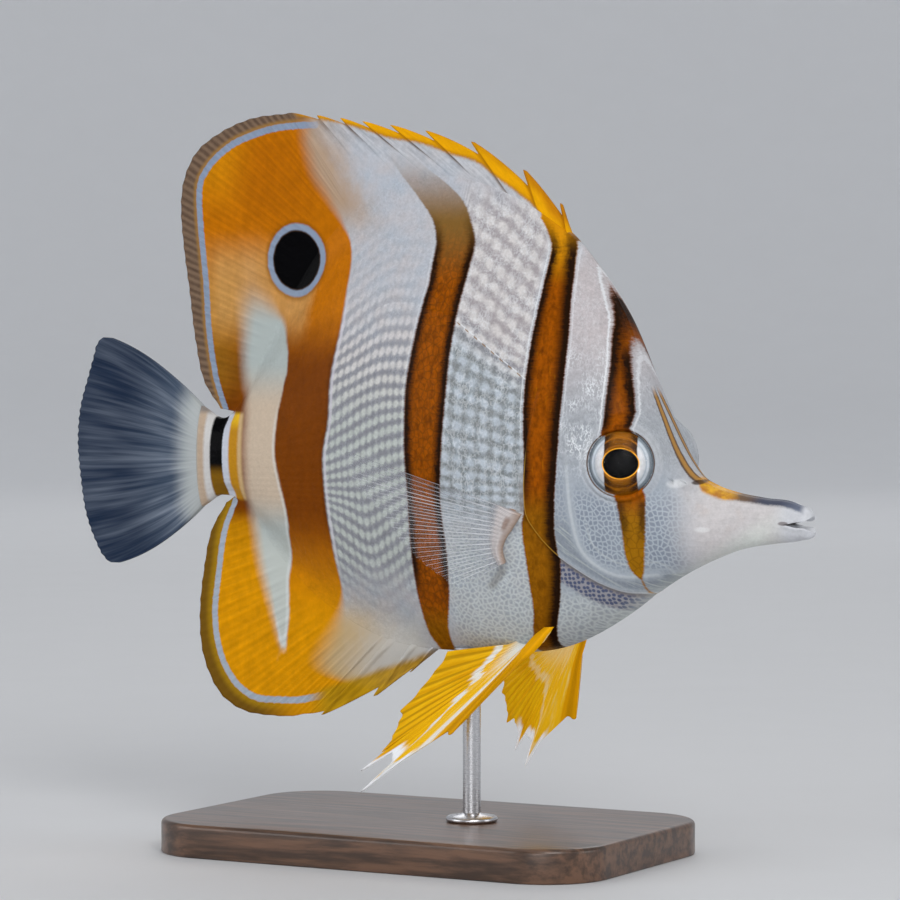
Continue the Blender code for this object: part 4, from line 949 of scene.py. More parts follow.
def paint_bands(f, base, colours):
    """The copper bands with their ragged dark edges and the light lines beside them, and their mask."""
    hatch = f.noise(f.stretch(0.45, 0.45, 2.6), 1.15, 2.0, 0.65)
    coarse = f.noise(f.stretch(1.0, 1.0, 0.6), 1.0, 2.0, 0.7)
    net = f.cells(f.x, f.z * 0.9, 0.85).step(0.16, 0.02)
    glow = f.noise(f.stretch(1.9, 1.9, 0.35), 0.9, 2.0, 0.6).step(0.15, 0.95)
    wobble = hatch * 0.18 + f.fine * 0.05
    rag = hatch * 0.55 + coarse * 0.55 + f.fine * 0.15
    rich = f.mix(coarse.step(-0.9, 0.9), f.shade(colours.copper, 0.52), f.shade(colours.copper, 1.5))
    ochre = f.mix(coarse.step(-0.9, 0.9), (0.17, 0.058, 0.001), (0.34, 0.125, 0.003))
    masks = f.x * 0.0
    nape, breast = f.z.step(44.0, 34.0), f.z.step(-28.0, -20.0)
    over_eye = f.z.step(2.5, 5.5)
    under_eye = f.z.step(-7.0, -8.5) * f.z.step(-17.0, -11.0) * 0.7
    whole = nape * breast
    plans = (
        ("eye_band", over_eye * f.z.step(31.0, 27.0), over_eye * f.z.step(21.0, 16.0), under_eye,
         1.9, 1.7, 0.85),
        ("gill_band", nape * f.z.step(-14.0, -2.0), nape, 0.0, 2.0, 2.8, 0.6),
        ("mid_band", whole, whole, 0.0, 2.1, 2.1, 0.3),
    )
    for name, rear_dark, front_dark, low_dark, rear_width, front_width, line in plans:
        inside, rear, front = band(f, name, wobble, 0.3 if name == "mid_band" else 0.22)
        beside = line * f.z.step(42.0, 32.0) * f.z.step(-9.0 if name == "mid_band" else 0.0, 6.0)
        base = f.mix(rear.line(-0.50, 0.03, 0.20) * front.step(0.0, 1.0) * beside, base, colours.pearl)
        base = f.mix(front.line(-0.50, 0.03, 0.20) * rear.step(0.0, 1.0) * beside * 0.7, base, colours.pearl)
        tone = f.mix(net * 0.45, rich, (0.10, 0.035, 0.002))
        if name == "gill_band":
            tone = f.mix(glow * 0.6 * f.z.step(26.0, 12.0), rich, (0.62, 0.23, 0.002))
            tone = f.mix(f.z.step(-5.0, -11.0), tone, ochre)
            tone = f.mix(f.z.step(28.0, 37.0), tone, (0.66, 0.27, 0.003))
        elif name == "eye_band":
            tone = f.mix(glow * 0.4, rich, (0.46, 0.18, 0.003))
            low_tone = f.mix(net * 0.4, (0.35, 0.150, 0.004), (0.15, 0.055, 0.002))
            tone = f.mix(f.z.step(-6.0, -12.0), tone, low_tone)
        else:
            tone = f.mix(f.z.step(-26.0, -32.0), tone, ochre)
            tone = f.mix(f.z.step(28.0, 42.0) * 0.9, tone, (0.21, 0.12, 0.03))
            inside = inside * f.z.step(55.0, 40.0)
        base = f.mix(inside, base, tone)
        dark = (rear - rag).step(rear_width, rear_width * 0.2) * rear_dark.most(low_dark)
        dark = dark.most((front - rag).step(front_width, front_width * 0.25) * front_dark.most(low_dark))
        base = f.mix(dark * inside, base, colours.soot)
        masks = masks.most(inside)
    return base, masks


def paint_rear(f, base, colours):
    """The orange rear with its pale patch and its false eye, over flesh and fins."""
    front, pale, gold = f.field("rear_field")
    blur = 0.35 + 1.9 * f.z.step(36.0, 48.0) + 3.0 * f.z.step(-24.0, -36.0)
    streaks = f.noise(f.stretch(0.25, 0.0, 1.0), 1.1, 2.0)
    coarse = f.noise(f.stretch(1.0, 1.0, 0.6), 0.5, 3.0, 0.65)
    inside = ((front + f.fine * 0.10 + coarse * 0.25 * f.z.step(30.0, 40.0)) / blur).step(-1.0, 1.0)
    tan = (front + coarse * 1.6).step(-12.0, -2.0) * f.z.step(36.0, 45.0)
    base = f.mix(tan * 0.9, base, (0.42, 0.28, 0.17))
    warm = (front + coarse * 1.5).step(-15.0, -1.0) * f.z.step(-24.0, -34.0)
    base = f.mix(f.z.step(-27.0, -34.0) * f.x.step(4.0, -2.0) * 0.8, base, (0.52, 0.50, 0.45))
    base = f.mix(warm * 0.9, base, (0.52, 0.36, 0.16))
    line = (front + f.fine * 0.06).line(-0.50, 0.12, 0.34) * f.z.step(31.0, 24.0) * f.z.step(-26.0, -18.0)
    base = f.mix(line * 0.70, base, (0.62, 0.60, 0.66))
    middle = f.z.step(26.0, 14.0) * f.z.step(-24.0, -10.0)
    anal = f.z.step(-14.0, -34.0)
    rear_fin = f.z.step(-11.0, -15.0) * f.x.step(-27.5, -31.0)
    tone = f.mix(middle, colours.amber, f.shade(colours.copper, 0.85))
    tone = f.mix(anal.most(rear_fin), tone, colours.honey)
    strip = f.x.step(-34.0, -44.0)
    tone = f.mix(f.z.step(36.0, 26.0) * f.z.step(6.0, 14.0) * strip * 0.5, tone, (0.46, 0.23, 0.02))
    fade = (front + coarse * 1.2).step(7.0, 11.0) * f.z.step(40.0, 32.0) * f.z.step(17.0, 25.0)
    tone = f.mix(fade * (0.75 - f.x.step(-43.0, -46.0) * 0.3), tone, (0.56, 0.31, 0.10))
    tone = f.mix(f.z.step(40.0, 52.0) * strip * 0.6, tone, (0.64, 0.26, 0.003))
    tone = f.mix(spot(f, -31.0, 48.0, 9.0, 8.0, 0.9) * 0.5, tone, (0.38, 0.105, 0.001))
    tone = f.shade(tone, 1.0 + coarse * 0.20 + streaks * 0.06 + f.grain * 0.06)
    ragged = (pale * -1.0 + streaks * 0.3).step(-1.6, -0.1) * 0.5
    edge = (front + streaks * 0.3).step(1.9, 0.1).most(ragged) * middle
    tone = f.mix(edge * 0.55, tone, (0.060, 0.016, 0.001))
    base = f.mix(inside, base, tone)
    soft = 0.35 + 1.6 * f.x.step(-29.5, -33.0) + 1.4 * f.z.step(16.0, 28.0)
    open_pale = ((pale + coarse * 0.3) / soft).step(-0.8, 1.2)
    top = f.z.step(31.0, 22.0)
    clear = f.mix(f.z.step(16.0, 7.0) * f.z.step(-16.0, -8.0), (0.42, 0.47, 0.46), colours.cream)
    clear = f.mix(f.z.step(-12.0, -20.0), clear, (0.52, 0.56, 0.53))
    base = f.mix(open_pale * (0.10 + 0.90 * top), base, clear)
    rim = pale.line(0.50, 0.10, 0.40) * f.x.step(-33.0, -29.5) * f.z.step(10.0, 2.0)
    base = f.mix(rim * 0.35, base, colours.pearl)
    return paint_spot(f, base, colours), gold


def paint_spot(f, base, colours):
    """The false eye: a black oval in a pale blue ring."""
    across, up = f.x - SPOT[0], f.z - SPOT[1]
    lean = 0.22
    u = (across + up * lean) / 4.95
    v = (up - across * lean) / 5.3
    uneven = f.noise(f.place, 0.9, 2.0) * 0.02
    far = (u * u + v * v) ** 0.5 + uneven
    base = f.mix(far.step(1.52, 1.30) * 0.6, base, (0.22, 0.075, 0.003))
    base = f.mix(far.step(1.34, 1.24), base, colours.sky)
    base = f.mix(far.step(1.10, 1.02), base, (0.05, 0.028, 0.018))
    return f.mix(far.step(1.05, 0.98), base, colours.ink)


def paint_tail_root(f, base, colours):
    """Upright stripes of the tail's root: orange, white, black, white, tan and cream."""
    x = f.x + f.fine * 0.09
    rear = x.step(-42.0, -43.0)
    root = x.step(-35.9, -36.9) * (f.z.step(6.6, 5.6) * f.z.step(-10.2, -9.2)).most(rear)
    gold = f.mix(f.z.step(2.5, 5.5), (0.50, 0.235, 0.012), (0.80, 0.48, 0.02))
    stripes = f.mix(x.step(-37.0, -37.8), (0.58, 0.40, 0.20), gold)
    stripes = f.mix(x.step(-39.3, -39.9), stripes, (0.55, 0.58, 0.66))
    bar = f.mix(f.z.step(-3.0, -5.6), colours.ink, (0.22, 0.105, 0.006))
    stripes = f.mix(x.step(-40.9, -41.3), stripes, bar)
    for start, end, strength, tone in TAIL_STRIPES:
        stripes = f.mix(x.step(start, end) * strength, stripes, tone)
    base = f.mix(root, base, stripes)
    bar_edge = f.x.step(-40.9, -41.3) * f.z.step(5.6, 6.6)
    return f.mix(bar_edge * 0.8, base, (0.22, 0.20, 0.19))


def paint_crown(f, base):
    """Two stripes down the forehead that join into one on top of the snout."""
    stripe, top, _ = f.field("crown")
    upper = f.x.step(44.8, 46.0) * f.x.step(57.5, 56.0) * f.z.step(-6.5, -4.5)
    across = (stripe + f.grain * 0.16) / (0.58 + f.x.step(45.0, 52.0) * 0.20)
    copper = f.mix(across.line(0.0, 0.30, 0.8), (0.075, 0.028, 0.005), (0.42, 0.20, 0.02))
    base = f.mix(across.line(0.0, 1.05, 0.5) * upper * 0.92, base, copper)
    mask = (top + f.fine * 0.16 + f.grain * 0.1).step(-0.3, 0.35)
    mask = mask * f.x.step(53.0, 55.0) * f.x.step(74.2, 72.6)
    blotch = f.noise(f.place, 0.8, 2.0)
    bright = f.mix(blotch.step(-0.7, 0.7), (0.46, 0.17, 0.003), (0.80, 0.42, 0.006))
    bright = f.mix((f.x + blotch).step(60.0, 62.5), bright, (0.13, 0.070, 0.030))
    bright = f.mix(f.x.step(62.5, 66.5), bright, (0.035, 0.045, 0.085))
    bright = f.mix(f.x.step(69.0, 73.0) * 0.6, bright, (0.16, 0.19, 0.27))
    base = f.mix(mask * 0.95, base, bright)
    return f.mix(spot(f, 54.6, -4.6, 0.85, 0.42) * 0.85, base, (0.05, 0.025, 0.012))


def skin_finish():
    """Silver scaled skin with its copper bands, wet on the head.

    Cycles holds at most 255 numbers at once for a material, and renders one that needs more black. This one
    needs 243, so a new layer may have to replace one.
    """
    colours = bpy.context.scene.fish_colours
    f = Finish("skin_finish", Coat_Roughness=0.24, Specular_IOR_Level=0.03)
    base, light = flank_colour(f, colours)
    base, streaks = head_colour(f, breast_cells(f, base), colours)
    base, _ = paint_rear(f, base, colours)
    base, banded = paint_bands(f, base, colours)
    gill = f.field("head")[1]
    base = f.mix(gill.line(0.12, 0.05, 0.16) * banded * f.z.step(2.0, -3.0) * 0.7, base, (0.60, 0.33, 0.04))
    base = paint_tail_root(f, base, colours)
    base = f.shade(paint_crown(f, base), 1.0 + f.grain * 0.08 + f.fine * 0.06)
    body = f.x.step(33.0, 27.0)
    height = f.fine * 0.016 + light * body * 0.035 + f.grain * 0.03
    rough = 0.40 + f.fine * 0.05 - light * body * 0.06
    wet = (0.02 + 0.05 * f.x.step(-10.0, 10.0) + 0.16 * f.x.step(30.0, 46.0)) * (1.0 - banded * 0.9)
    wet = wet * (1.0 + streaks * 0.5)
    return f.wear(Base_Color=base, Roughness=rough, Coat_Weight=wet, Normal=f.bump(height, 0.9))


def fin_root(curve, x, out, sunk):
    """A fin's root in the mid plane at x, sunk into the flesh. out is +1 on the back and -1 on the belly."""
    slope = curve(x + 0.5) - curve(x - 0.5)
    reach = -out * sunk / np.hypot(1, slope)
    return np.stack([x - slope * reach, curve(x) + reach], axis=-1)


def median_sheet(roots, tips, rows, thickness, bow=None):
    """Both faces of a fin in the mid plane: roots and tips are x, z by column, thickness a function of v."""
    v = np.linspace(0, 1, rows)
    grid = fan(roots, tips, v)
    if bow is not None:
        grid = grid + bow(np.linspace(0, 1, len(roots)))[:, None, :] * (4 * v * (1 - v))[None, :, None]
    half = thickness(v)
    outer = np.stack([grid[..., 0], half, grid[..., 1]], axis=-1)
    inner = np.stack([grid[..., 0], -half, grid[..., 1]], axis=-1)
    return outer, inner, v


def soft_rays(phase, v, branch_at):
    """The relief of soft rays, from 0 to 1: a ridge a ray, which splits in two past branch_at."""
    whole = 0.5 + 0.5 * np.cos(2 * math.pi * phase)
    split = 0.5 + 0.5 * np.cos(4 * math.pi * phase)
    share = rise(v, branch_at - 0.25, branch_at + 0.15)
    return whole[:, None] ** 2 * (1 - share)[None, :] + split[:, None] ** 2 * share[None, :] * 0.7


def spine_columns(roots, tips, notches, count):
    """Columns of a spiny fin, dense behind each spine: roots, tips, distance to a spine, and phase."""
    steps = np.linspace(0, 1, count + 1)[:-1] ** 1.6
    column_roots, column_tips, offset, phase = [], [], [], []
    for i, notch in enumerate(notches):
        gap = np.linalg.norm(roots[i + 1] - roots[i])
        for share in steps:
            root = roots[i] + (roots[i + 1] - roots[i]) * share
            tip = tips[i] + (tips[i + 1] - tips[i]) * share
            short = notch * float(rise(share, 0.05, 0.12)) * (1 - share) ** 1.7
            column_roots.append(root)
            column_tips.append(tip + (root - tip) * short)
            offset.append(min(share, 1 - share) * gap)
            phase.append(i + share)
    ends = np.array([*column_roots, roots[-1]]), np.array([*column_tips, tips[-1]])
    return *ends, np.array([*offset, 0.0]), np.array([*phase, float(len(notches))])


def fin_fields(outer, phase, v, blue):
    """Markings and ray fields for both faces of a fin of the mid plane."""
    x, z = outer[..., 0].ravel(), outer[..., 2].ravel()
    fields = markings(x, z)
    lined = aside(blue, x, z, 120) if blue is not None else np.full(len(x), -20.0)
    rays = np.repeat(phase[:, None], len(v), axis=1).ravel()
    shares = np.repeat(v[None, :], len(phase), axis=0).ravel()
    fields["fin"] = np.stack([rays, shares, lined], axis=-1)
    return {name: np.concatenate([values, values]) for name, values in fields.items()}


def fin_finish(name, is_dorsal):
    """Dorsal and anal fins: the body's markings run on over rayed membrane."""
    colours = bpy.context.scene.fish_colours
    f = Finish(name, Specular_IOR_Level=0.02)
    base, _ = flank_colour(f, colours)
    phase, share, lined = f.field("fin")
    base, gold = paint_rear(f, base, colours)
    if is_dorsal:
        base, _ = paint_bands(f, base, colours)
    ray = phase.wave()
    twin = (phase * 2.0).wave()
    streak = f.noise(f.vector(phase * 3.0, share * 2.0, 0.0), 1.6, 2.0, 0.65)
    soft = share.step(0.05, 0.4) * (0.35 + 0.65 * f.x.step(-12.0, -24.0))
    base = f.shade(base, 1.0 + (ray * 0.03 + twin * 0.04 + streak * 0.12) * soft)
    outside = lined + streak * 0.12 + twin * 0.03 + f.grain * 0.12
    if is_dorsal:
        ribs = (twin * 0.45 + streak * 0.45 + f.grain * 0.4).step(-1.0, 1.0)
        margin = f.mix(ribs, (0.095, 0.060, 0.041), (0.225, 0.150, 0.100))
        inner = f.mix(outside.step(1.6, 0.7), margin, (0.32, 0.17, 0.05))
        base = f.mix(outside.step(0.4, 0.7) * f.x.step(-22.0, -28.0), base, inner)
        blue_on = f.x.step(-19.0, -26.0)
        sky = colours.sky
    else:
        olive = f.shade(colours.olive, 1.0 + streak * 0.15)
        margin = f.mix(outside.step(0.9, 2.4), olive, (0.17, 0.085, 0.008))
        margin = f.mix(f.x.step(-36.0, -24.0), margin, colours.honey)
        base = f.mix(outside.step(0.4, 0.8) * f.x.step(-16.0, -22.0), base, margin)
        blue_on = f.x.step(-20.0, -25.0)
        sky = (0.37, 0.42, 0.50)
    sky = f.shade(sky, 1.0 + streak * 0.18 + f.grain * 0.10)
    base = f.mix(outside.line(0.0, 0.48, 0.26) * blue_on, base, sky)
    if is_dorsal:
        base = paint_spines(f, base, colours, phase, gold, streak)
    else:
        # The lobes' dark olive gold is partly their own colour and partly painted shade
        lobe = f.x.step(-26.0, -20.0) * (f.z + 37.4 - (f.x + 2.4) * 0.33 + streak * 0.5).step(0.8, -0.8)
        tip = f.mix(streak.step(-0.9, 0.7), (0.30, 0.165, 0.005), (0.56, 0.32, 0.008))
        base = f.mix(lobe * 0.95, base, tip)
    joints = (share * 46.0 + streak * 0.6).wave().step(0.55, 1.0) * soft
    height = (ray * 0.02 + twin * 0.015 - joints * 0.012) * soft + f.fine * 0.01
    return f.wear(Base_Color=base, Roughness=0.46 + f.fine * 0.05, Normal=f.bump(height, 0.7))


def paint_spines(f, base, colours, phase, gold, streak):
    """The spiny part: gold lobes, a painted shadow behind each spine and grey white membrane below."""
    spiny = f.x.step(-26.0, -18.0) * f.x.step(25.0, 20.0)
    behind_spine = phase - phase.math("FLOOR")
    grey = f.mix((streak + f.grain * 0.5).step(-0.9, 0.9), (0.30, 0.32, 0.36), (0.62, 0.63, 0.66))
    base = f.mix(gold.step(-6.5, -0.8) * spiny * 0.65, base, grey)
    # gap marks a painted shadow just behind each spine, on the membrane and on the gold lobes
    gap = behind_spine.step(0.02, 0.06) * behind_spine.step(0.26, 0.12)
    base = f.mix(gap * gold.step(-2.6, -0.4) * gold.step(1.6, 0.2) * spiny * 0.7, base, (0.11, 0.05, 0.015))
    tip = f.mix(gold.step(1.8, 4.2), f.shade(colours.gold, 0.88), (0.55, 0.21, 0.004))
    tip = f.mix(gap * 0.6, tip, (0.38, 0.14, 0.002))
    tip = f.mix(gold.step(1.1, 0.1) * 0.85, tip, (0.42, 0.18, 0.008))
    tip = f.shade(tip, 1.0 + streak * 0.14 + f.grain * 0.06)
    return f.mix((gold + f.fine * 0.25).step(-0.3, 0.5) * f.x.step(-28.5, -25.5), base, tip)


def tail_finish():
    """The see-through tail fin: whitish rays on a membrane painted dark blue as painted shade, for the dark
    seen through it, and cream at its root.
    """
    f = Finish("tail_finish", Specular_IOR_Level=0.05)
    phase, share, _ = f.field("fin")
    ray = phase.wave()
    twin = (phase * 2.0).wave()
    bundle = f.noise(f.vector(phase * 0.62, share * 0.9, 0.0), 1.0, 2.0, 0.6)
    hair = f.noise(f.vector(phase * 3.0, share * 1.2, 3.0), 1.3, 2.0, 0.65)
    bright = (bundle * 0.95 + hair * 0.50 + twin * 0.08).step(-0.55, 1.25)
    far = share.step(0.10, 0.70)
    # Painted shade: the clear membrane is painted dark blue for the darkness that shows through it
    painted_dark_membrane = f.mix(far, (0.055, 0.082, 0.130), (0.008, 0.020, 0.050))
    base = f.mix(bright * (0.85 - far * 0.45), painted_dark_membrane, (0.34, 0.39, 0.47))
    root = (share - bright * 0.10 + hair * 0.02).step(0.25, 0.02)
    base = f.mix(root * 0.9, base, f.shade((0.46, 0.49, 0.49), 1.0 + hair * 0.10))
    solid = (0.92 + bright * 0.07).most(share.step(0.34, 0.16))
    joints = (share * 60.0 + hair * 0.5).wave().step(0.5, 1.0)
    height = ray * 0.015 + hair * 0.02 - joints * 0.006
    return f.wear(Base_Color=base, Roughness=0.46 + f.fine * 0.04, Alpha=solid, Normal=f.bump(height, 0.7))


def pectoral_finish():
    """A clear fin of fine white rays on a narrow pinkish root."""
    f = Finish("pectoral_finish", Coat_Weight=0.08, Coat_Roughness=0.25, Specular_IOR_Level=0.1)
    phase, share, _ = f.field("fin")
    ray = phase.wave()
    twin = (phase * 2.0).wave()
    vary = f.noise(f.vector(phase * 0.8, share * 2.5, 0.0), 1.0, 3.0, 0.65)
    root = (share + vary * 0.02).step(0.20, 0.11)
    lines = ray.step(0.66, 1.0) * share.step(0.5, 0.2) + twin.step(0.78, 1.0) * share.step(0.2, 0.45)
    hair = (phase * 4.0).wave().step(0.82, 1.0) * share.step(0.45, 0.7) * 0.5
    lines = lines.least(1.0).most(hair) * (0.70 + vary * 0.45)
    bloom = share.step(0.42, 0.10) * phase.step(3.0, 6.0)
    dark_ray = phase.step(1.9, 0.9) * share.step(0.2, 0.4)
    white = f.mix(dark_ray * 0.75, (0.84, 0.85, 0.88), (0.14, 0.14, 0.17))
    base = f.mix(lines.most(bloom * 0.7), (0.42, 0.46, 0.52), white)
    hatch = (phase * 3.0 + vary * 0.4).wave()
    palm = f.mix((share + vary * 0.01).step(0.00, 0.06), (0.44, 0.33, 0.27), (0.62, 0.575, 0.57))
    palm = f.shade(palm, 1.0 + hatch * 0.13 + vary * 0.06)
    base = f.mix(root, base, palm)
    groove = phase.step(6.0, 4.0) * phase.step(0.6, 2.0) * (share + vary * 0.006).line(0.05, 0.006, 0.022)
    base = f.mix(groove * 0.65, base, (0.24, 0.13, 0.08))
    fade = share.step(1.0, 0.45)
    solid = (0.02 + lines * (0.25 + 0.60 * fade) + bloom * 0.30).least(1.0).most(root)
    height = ray * 0.03 + hatch * root * 0.03 + f.fine * 0.01
    return f.wear(Base_Color=base, Roughness=0.36 + f.fine * 0.04, Alpha=solid, Normal=f.bump(height, 0.7))


def pelvic_finish():
    """Golden pelvic fins: a solid spine, a white wedge and line, fine dark rays behind and white tips.

    The faces turned to the other fin have a painted glow, which stands for the light that shines through from
    outside.
    """
    colours = bpy.context.scene.fish_colours
    f = Finish("pelvic_finish", Specular_IOR_Level=0.04, Emission_Strength=1.0)
    phase, share, outward = f.field("fin")
    streak = f.noise(f.vector(phase * 3.0, share * 1.6, 0.0), 1.7, 3.0, 0.6)
    jag = f.noise(f.vector(phase * 2.2, share * 0.4, 0.0), 2.4, 2.0)
    outer = outward.step(-0.2, 0.2)
    white = (0.80, 0.80, 0.76)
    gold = f.mix(streak.step(-0.8, 0.9), f.shade(colours.gold, 0.80), (0.94, 0.56, 0.008))
    pale = f.mix(streak.step(-0.1, 0.8), (0.88, 0.50, 0.012), (0.86, 0.70, 0.26))
    edge = 0.50 + (2.0 - phase).most(0.0) * 0.42
    past = share - edge + jag * 0.05
    rear = past.step(-0.03, 0.03)
    # The dark rays are fainter on the inner faces: painted light for faces that lie in the body's shadow
    dark = (phase * 4.0).wave().step(0.0, -0.95) * phase.step(1.7, 2.3) * (0.28 + 0.40 * outer)
    fan = f.mix(dark, gold, (0.42, 0.22, 0.004))
    at_root = share.step(0.42, 0.16) * phase.step(0.7, 1.0)
    wedge = (past + streak * 0.03).line(-0.035, 0.03, 0.03).most(at_root)
    near = f.mix(wedge * (0.25 + 0.75 * outer), pale, white)
    base = f.mix(rear, near, fan)
    stripe = (phase + streak * 0.05).line(0.52, 0.07, 0.10) * outer
    base = f.mix(stripe * 0.9, base, white)
    spine = (phase + streak * 0.02).step(0.42, 0.34)
    grooved = phase.line(0.17, 0.03, 0.10) * 0.5
    base = f.mix(spine, base, f.mix(grooved, f.shade(colours.gold, 0.80), (0.40, 0.18, 0.003)))
    tips = (share + streak * 0.03).step(0.89, 0.95) * phase.step(2.7, 2.3) * phase.step(0.62, 0.8)
    base = f.mix(tips, base, (0.88, 0.90, 0.93))
    # Painted glow: the inner faces emit a share of their own colour, though the fin is no lamp
    glow = f.shade(base, (1.0 - outer) * 0.30)
    height = (phase * 4.0).wave() * 0.03 + f.fine * 0.01
    return f.wear(
        Base_Color=base, Roughness=0.38 + f.fine * 0.05, Emission_Color=glow, Normal=f.bump(height, 0.8)
    )


def iris_finish():
    """Silver iris with a bronze band through the pupil, which has a thin gold rim."""
    f = Finish("iris_finish", Specular_IOR_Level=0.1)
    ahead, up, off_axis = f.field("iris")
    pupil = pupil_edge(ahead, up)
    turn = ahead.math("ARCTAN2", up)
    radial = f.noise(f.vector(turn * 2.2, off_axis * 0.7, 0.0), 2.0, 3.0, 0.6)
    rings = f.noise(f.vector(off_axis * 1.6, turn * 0.25, 0.0), 1.2, 2.0)
    glass = f.mix(off_axis.step(5.5, 4.2), (0.15, 0.18, 0.205), (0.30, 0.335, 0.37))
    glass = f.mix(off_axis.line(3.7, 0.25, 0.6) * 0.6, glass, (0.62, 0.60, 0.60))
    glass = f.mix(off_axis.line(4.75, 0.08, 0.2) * 0.5, glass, (0.60, 0.65, 0.70))
    base = f.shade(glass, 1.0 + radial * 0.20 + rings * 0.16)
    glint = ahead.line(3.05, 0.15, 0.35) * up.line(-0.5, 0.5, 0.9)
    base = f.mix(glint * 0.9, base, (1.0, 0.95, 0.85))
    column = (ahead - 0.12).size() + radial * 0.12
    copper = f.mix((rings + radial * 0.5).step(-0.9, 0.9), (0.085, 0.026, 0.001), (0.30, 0.105, 0.003))
    side = column.step(1.0, 2.4)
    bars = (off_axis + radial * 0.12).line(3.75, 0.30, 0.35) * (0.30 + 0.70 * side)
    bars = bars.most((off_axis + radial * 0.12).line(4.85, 0.20, 0.35) * side)
    copper = f.mix(bars * 0.95, copper, (0.022, 0.008, 0.002))
    base = f.mix(column.step(2.98, 2.72), base, copper)
    base = f.mix(off_axis.line(5.72, 0.05, 0.10) * 0.8, base, (0.13, 0.065, 0.03))
    base = f.mix(pupil.step(0.21, 0.11), base, (0.80, 0.36, 0.02))
    base = f.mix(pupil.step(0.05, -0.03), base, (0.0008, 0.0008, 0.001))
    rough = 0.26 + pupil.step(0.0, 0.4) * 0.16
    return f.wear(Base_Color=base, Roughness=rough, Normal=f.bump(radial * 0.03 + rings * 0.03, 0.7))


def pupil_edge(ahead, up):
    """Distance outside the pupil's edge: an oval that draws to a slight point towards the snout."""
    wide = ahead / 1.14
    far = (wide * wide + up * up) ** 0.5
    point = (wide / (far + 0.01)).most(0.0)
    return far - (PUPIL_RADIUS - 0.10 + point * point * point * 0.30)


def cornea_finish():
    """The clear dome over the iris."""
    f = Finish("cornea_finish", Roughness=0.02, IOR=1.07, Transmission_Weight=1.0)
    haze = f.noise(f.place, 0.8, 2.0)
    return f.wear(Base_Color=f.mix(haze.step(-1.0, 1.0), (0.97, 0.98, 1.0), (1.0, 1.0, 1.0)))


def make_eye(letter, side, iris, cornea):
    """An iris with its pupil on a closed ball, and a thin clear dome over it."""
    centre, look, ahead, up = eye_axes(side)
    spokes = 144
    turn = np.linspace(0, 2 * math.pi, spokes, endpoint=False)
    ring = np.concatenate([np.linspace(0.05, 2.4, 12), np.linspace(2.5, 5.9, 40)])
    bowl = through([(0.0, 4.65), (2.4, 4.25), (2.7, 4.1), (2.95, 4.35), (3.6, 4.05), (4.6, 3.3), (5.9, 1.9)])
    rear = np.linspace(0.05, 0.97, 14) * math.pi / 2
    profile = [(r, float(bowl(r))) for r in ring]
    profile += [(6.0 * math.cos(a), 1.9 * math.cos(a) - 3.4 * math.sin(a)) for a in rear]
    points, fields = [], []
    for r, h in profile:
        for t in turn:
            u, v = r * math.cos(t), r * math.sin(t)
            points.append(centre + look * h + ahead * u + up * v)
            fields.append((u, v, r if h > -0.4 or r > 5.9 else 5.9))
    faces = ring_faces(len(profile), spokes)
    ball = build("eye_ball_" + letter, points, faces, iris, {"iris": fields})
    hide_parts("eye_" + letter)

    points = []
    shells = []
    for radius in (EYE_RADIUS, EYE_RADIUS - 0.16):
        shells.append([(radius * math.sin(a), radius * math.cos(a)) for a in np.linspace(0.01, 1.28, 40)])
    for r, h in shells[0] + shells[1][::-1]:
        for t in turn:
            points.append(centre + look * h + ahead * (r * math.cos(t)) + up * (r * math.sin(t)))
    faces = ring_faces(len(points) // spokes, spokes)
    dome = build("cornea_" + letter, points, faces, cornea, None)
    dome.visible_shadow = False


class FISH_OT_skin(bpy.types.Operator):
    """One scaled skin over head, trunk, tail root, gill covers and jaws"""

    bl_idname = "fish.skin"
    bl_label = "Skin"

    def execute(self, context):
        points, faces = make_skin_mesh()
        x, y, z = points.T
        fields = markings(x, z)
        fields.update(head_fields(x, y, z))
        skin = build("skin", points, faces, skin_finish(), fields)
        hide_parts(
            "head", "trunk", "tail_root", "gill_cover_R", "gill_cover_L", "upper_jaw", "lower_jaw"
        )
        return {"FINISHED"}


class FISH_OT_eyes(bpy.types.Operator):
    """Both eyes, each with its iris and a clear cornea"""

    bl_idname = "fish.eyes"
    bl_label = "Eyes"

    def execute(self, context):
        iris, cornea = iris_finish(), cornea_finish()
        for letter, side in SIDES:
            make_eye(letter, side, iris, cornea)
        return {"FINISHED"}


def spined_thickness(starts, offset, phase, radius, spine_from, spine_whole):
    """Half thickness by column and row: level with the flesh at the root, thin at the margin, and raised
    on its spines, whose distance is offset, and then on its soft rays, whose places are phase.
    """
    ray_rise = bpy.context.scene.fish_sizes.ray_rise

    def thickness(v):
        taper = radius * (1 - 0.72 * v)[None, :]
        spine = taper * np.sqrt(np.clip(1 - (offset[:, None] / taper / 1.15) ** 2, 0, 1)) * 0.75
        spine = spine * rise(v, spine_from, spine_whole)[None, :]
        rays = soft_rays(phase, v, 0.6) * ray_rise * rise(v, 0.0, 0.3)[None, :]
        flesh = (starts[:, None] - FIN_EDGE) * rise(v, 0.85, 0.0)[None, :]
        return FIN_EDGE + flesh + np.concatenate([spine, rays])

    return thickness


def median_fin(name, sheet, phase, blue, material, slot, *nodes):
    """Builds a fin of the mid plane from its two faces of points."""
    outer, inner, v = sheet
    points, faces = closed_sheet(outer, inner)
    fin = build(name, points, faces, material, fin_fields(outer, phase, v, blue))
    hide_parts(*nodes)


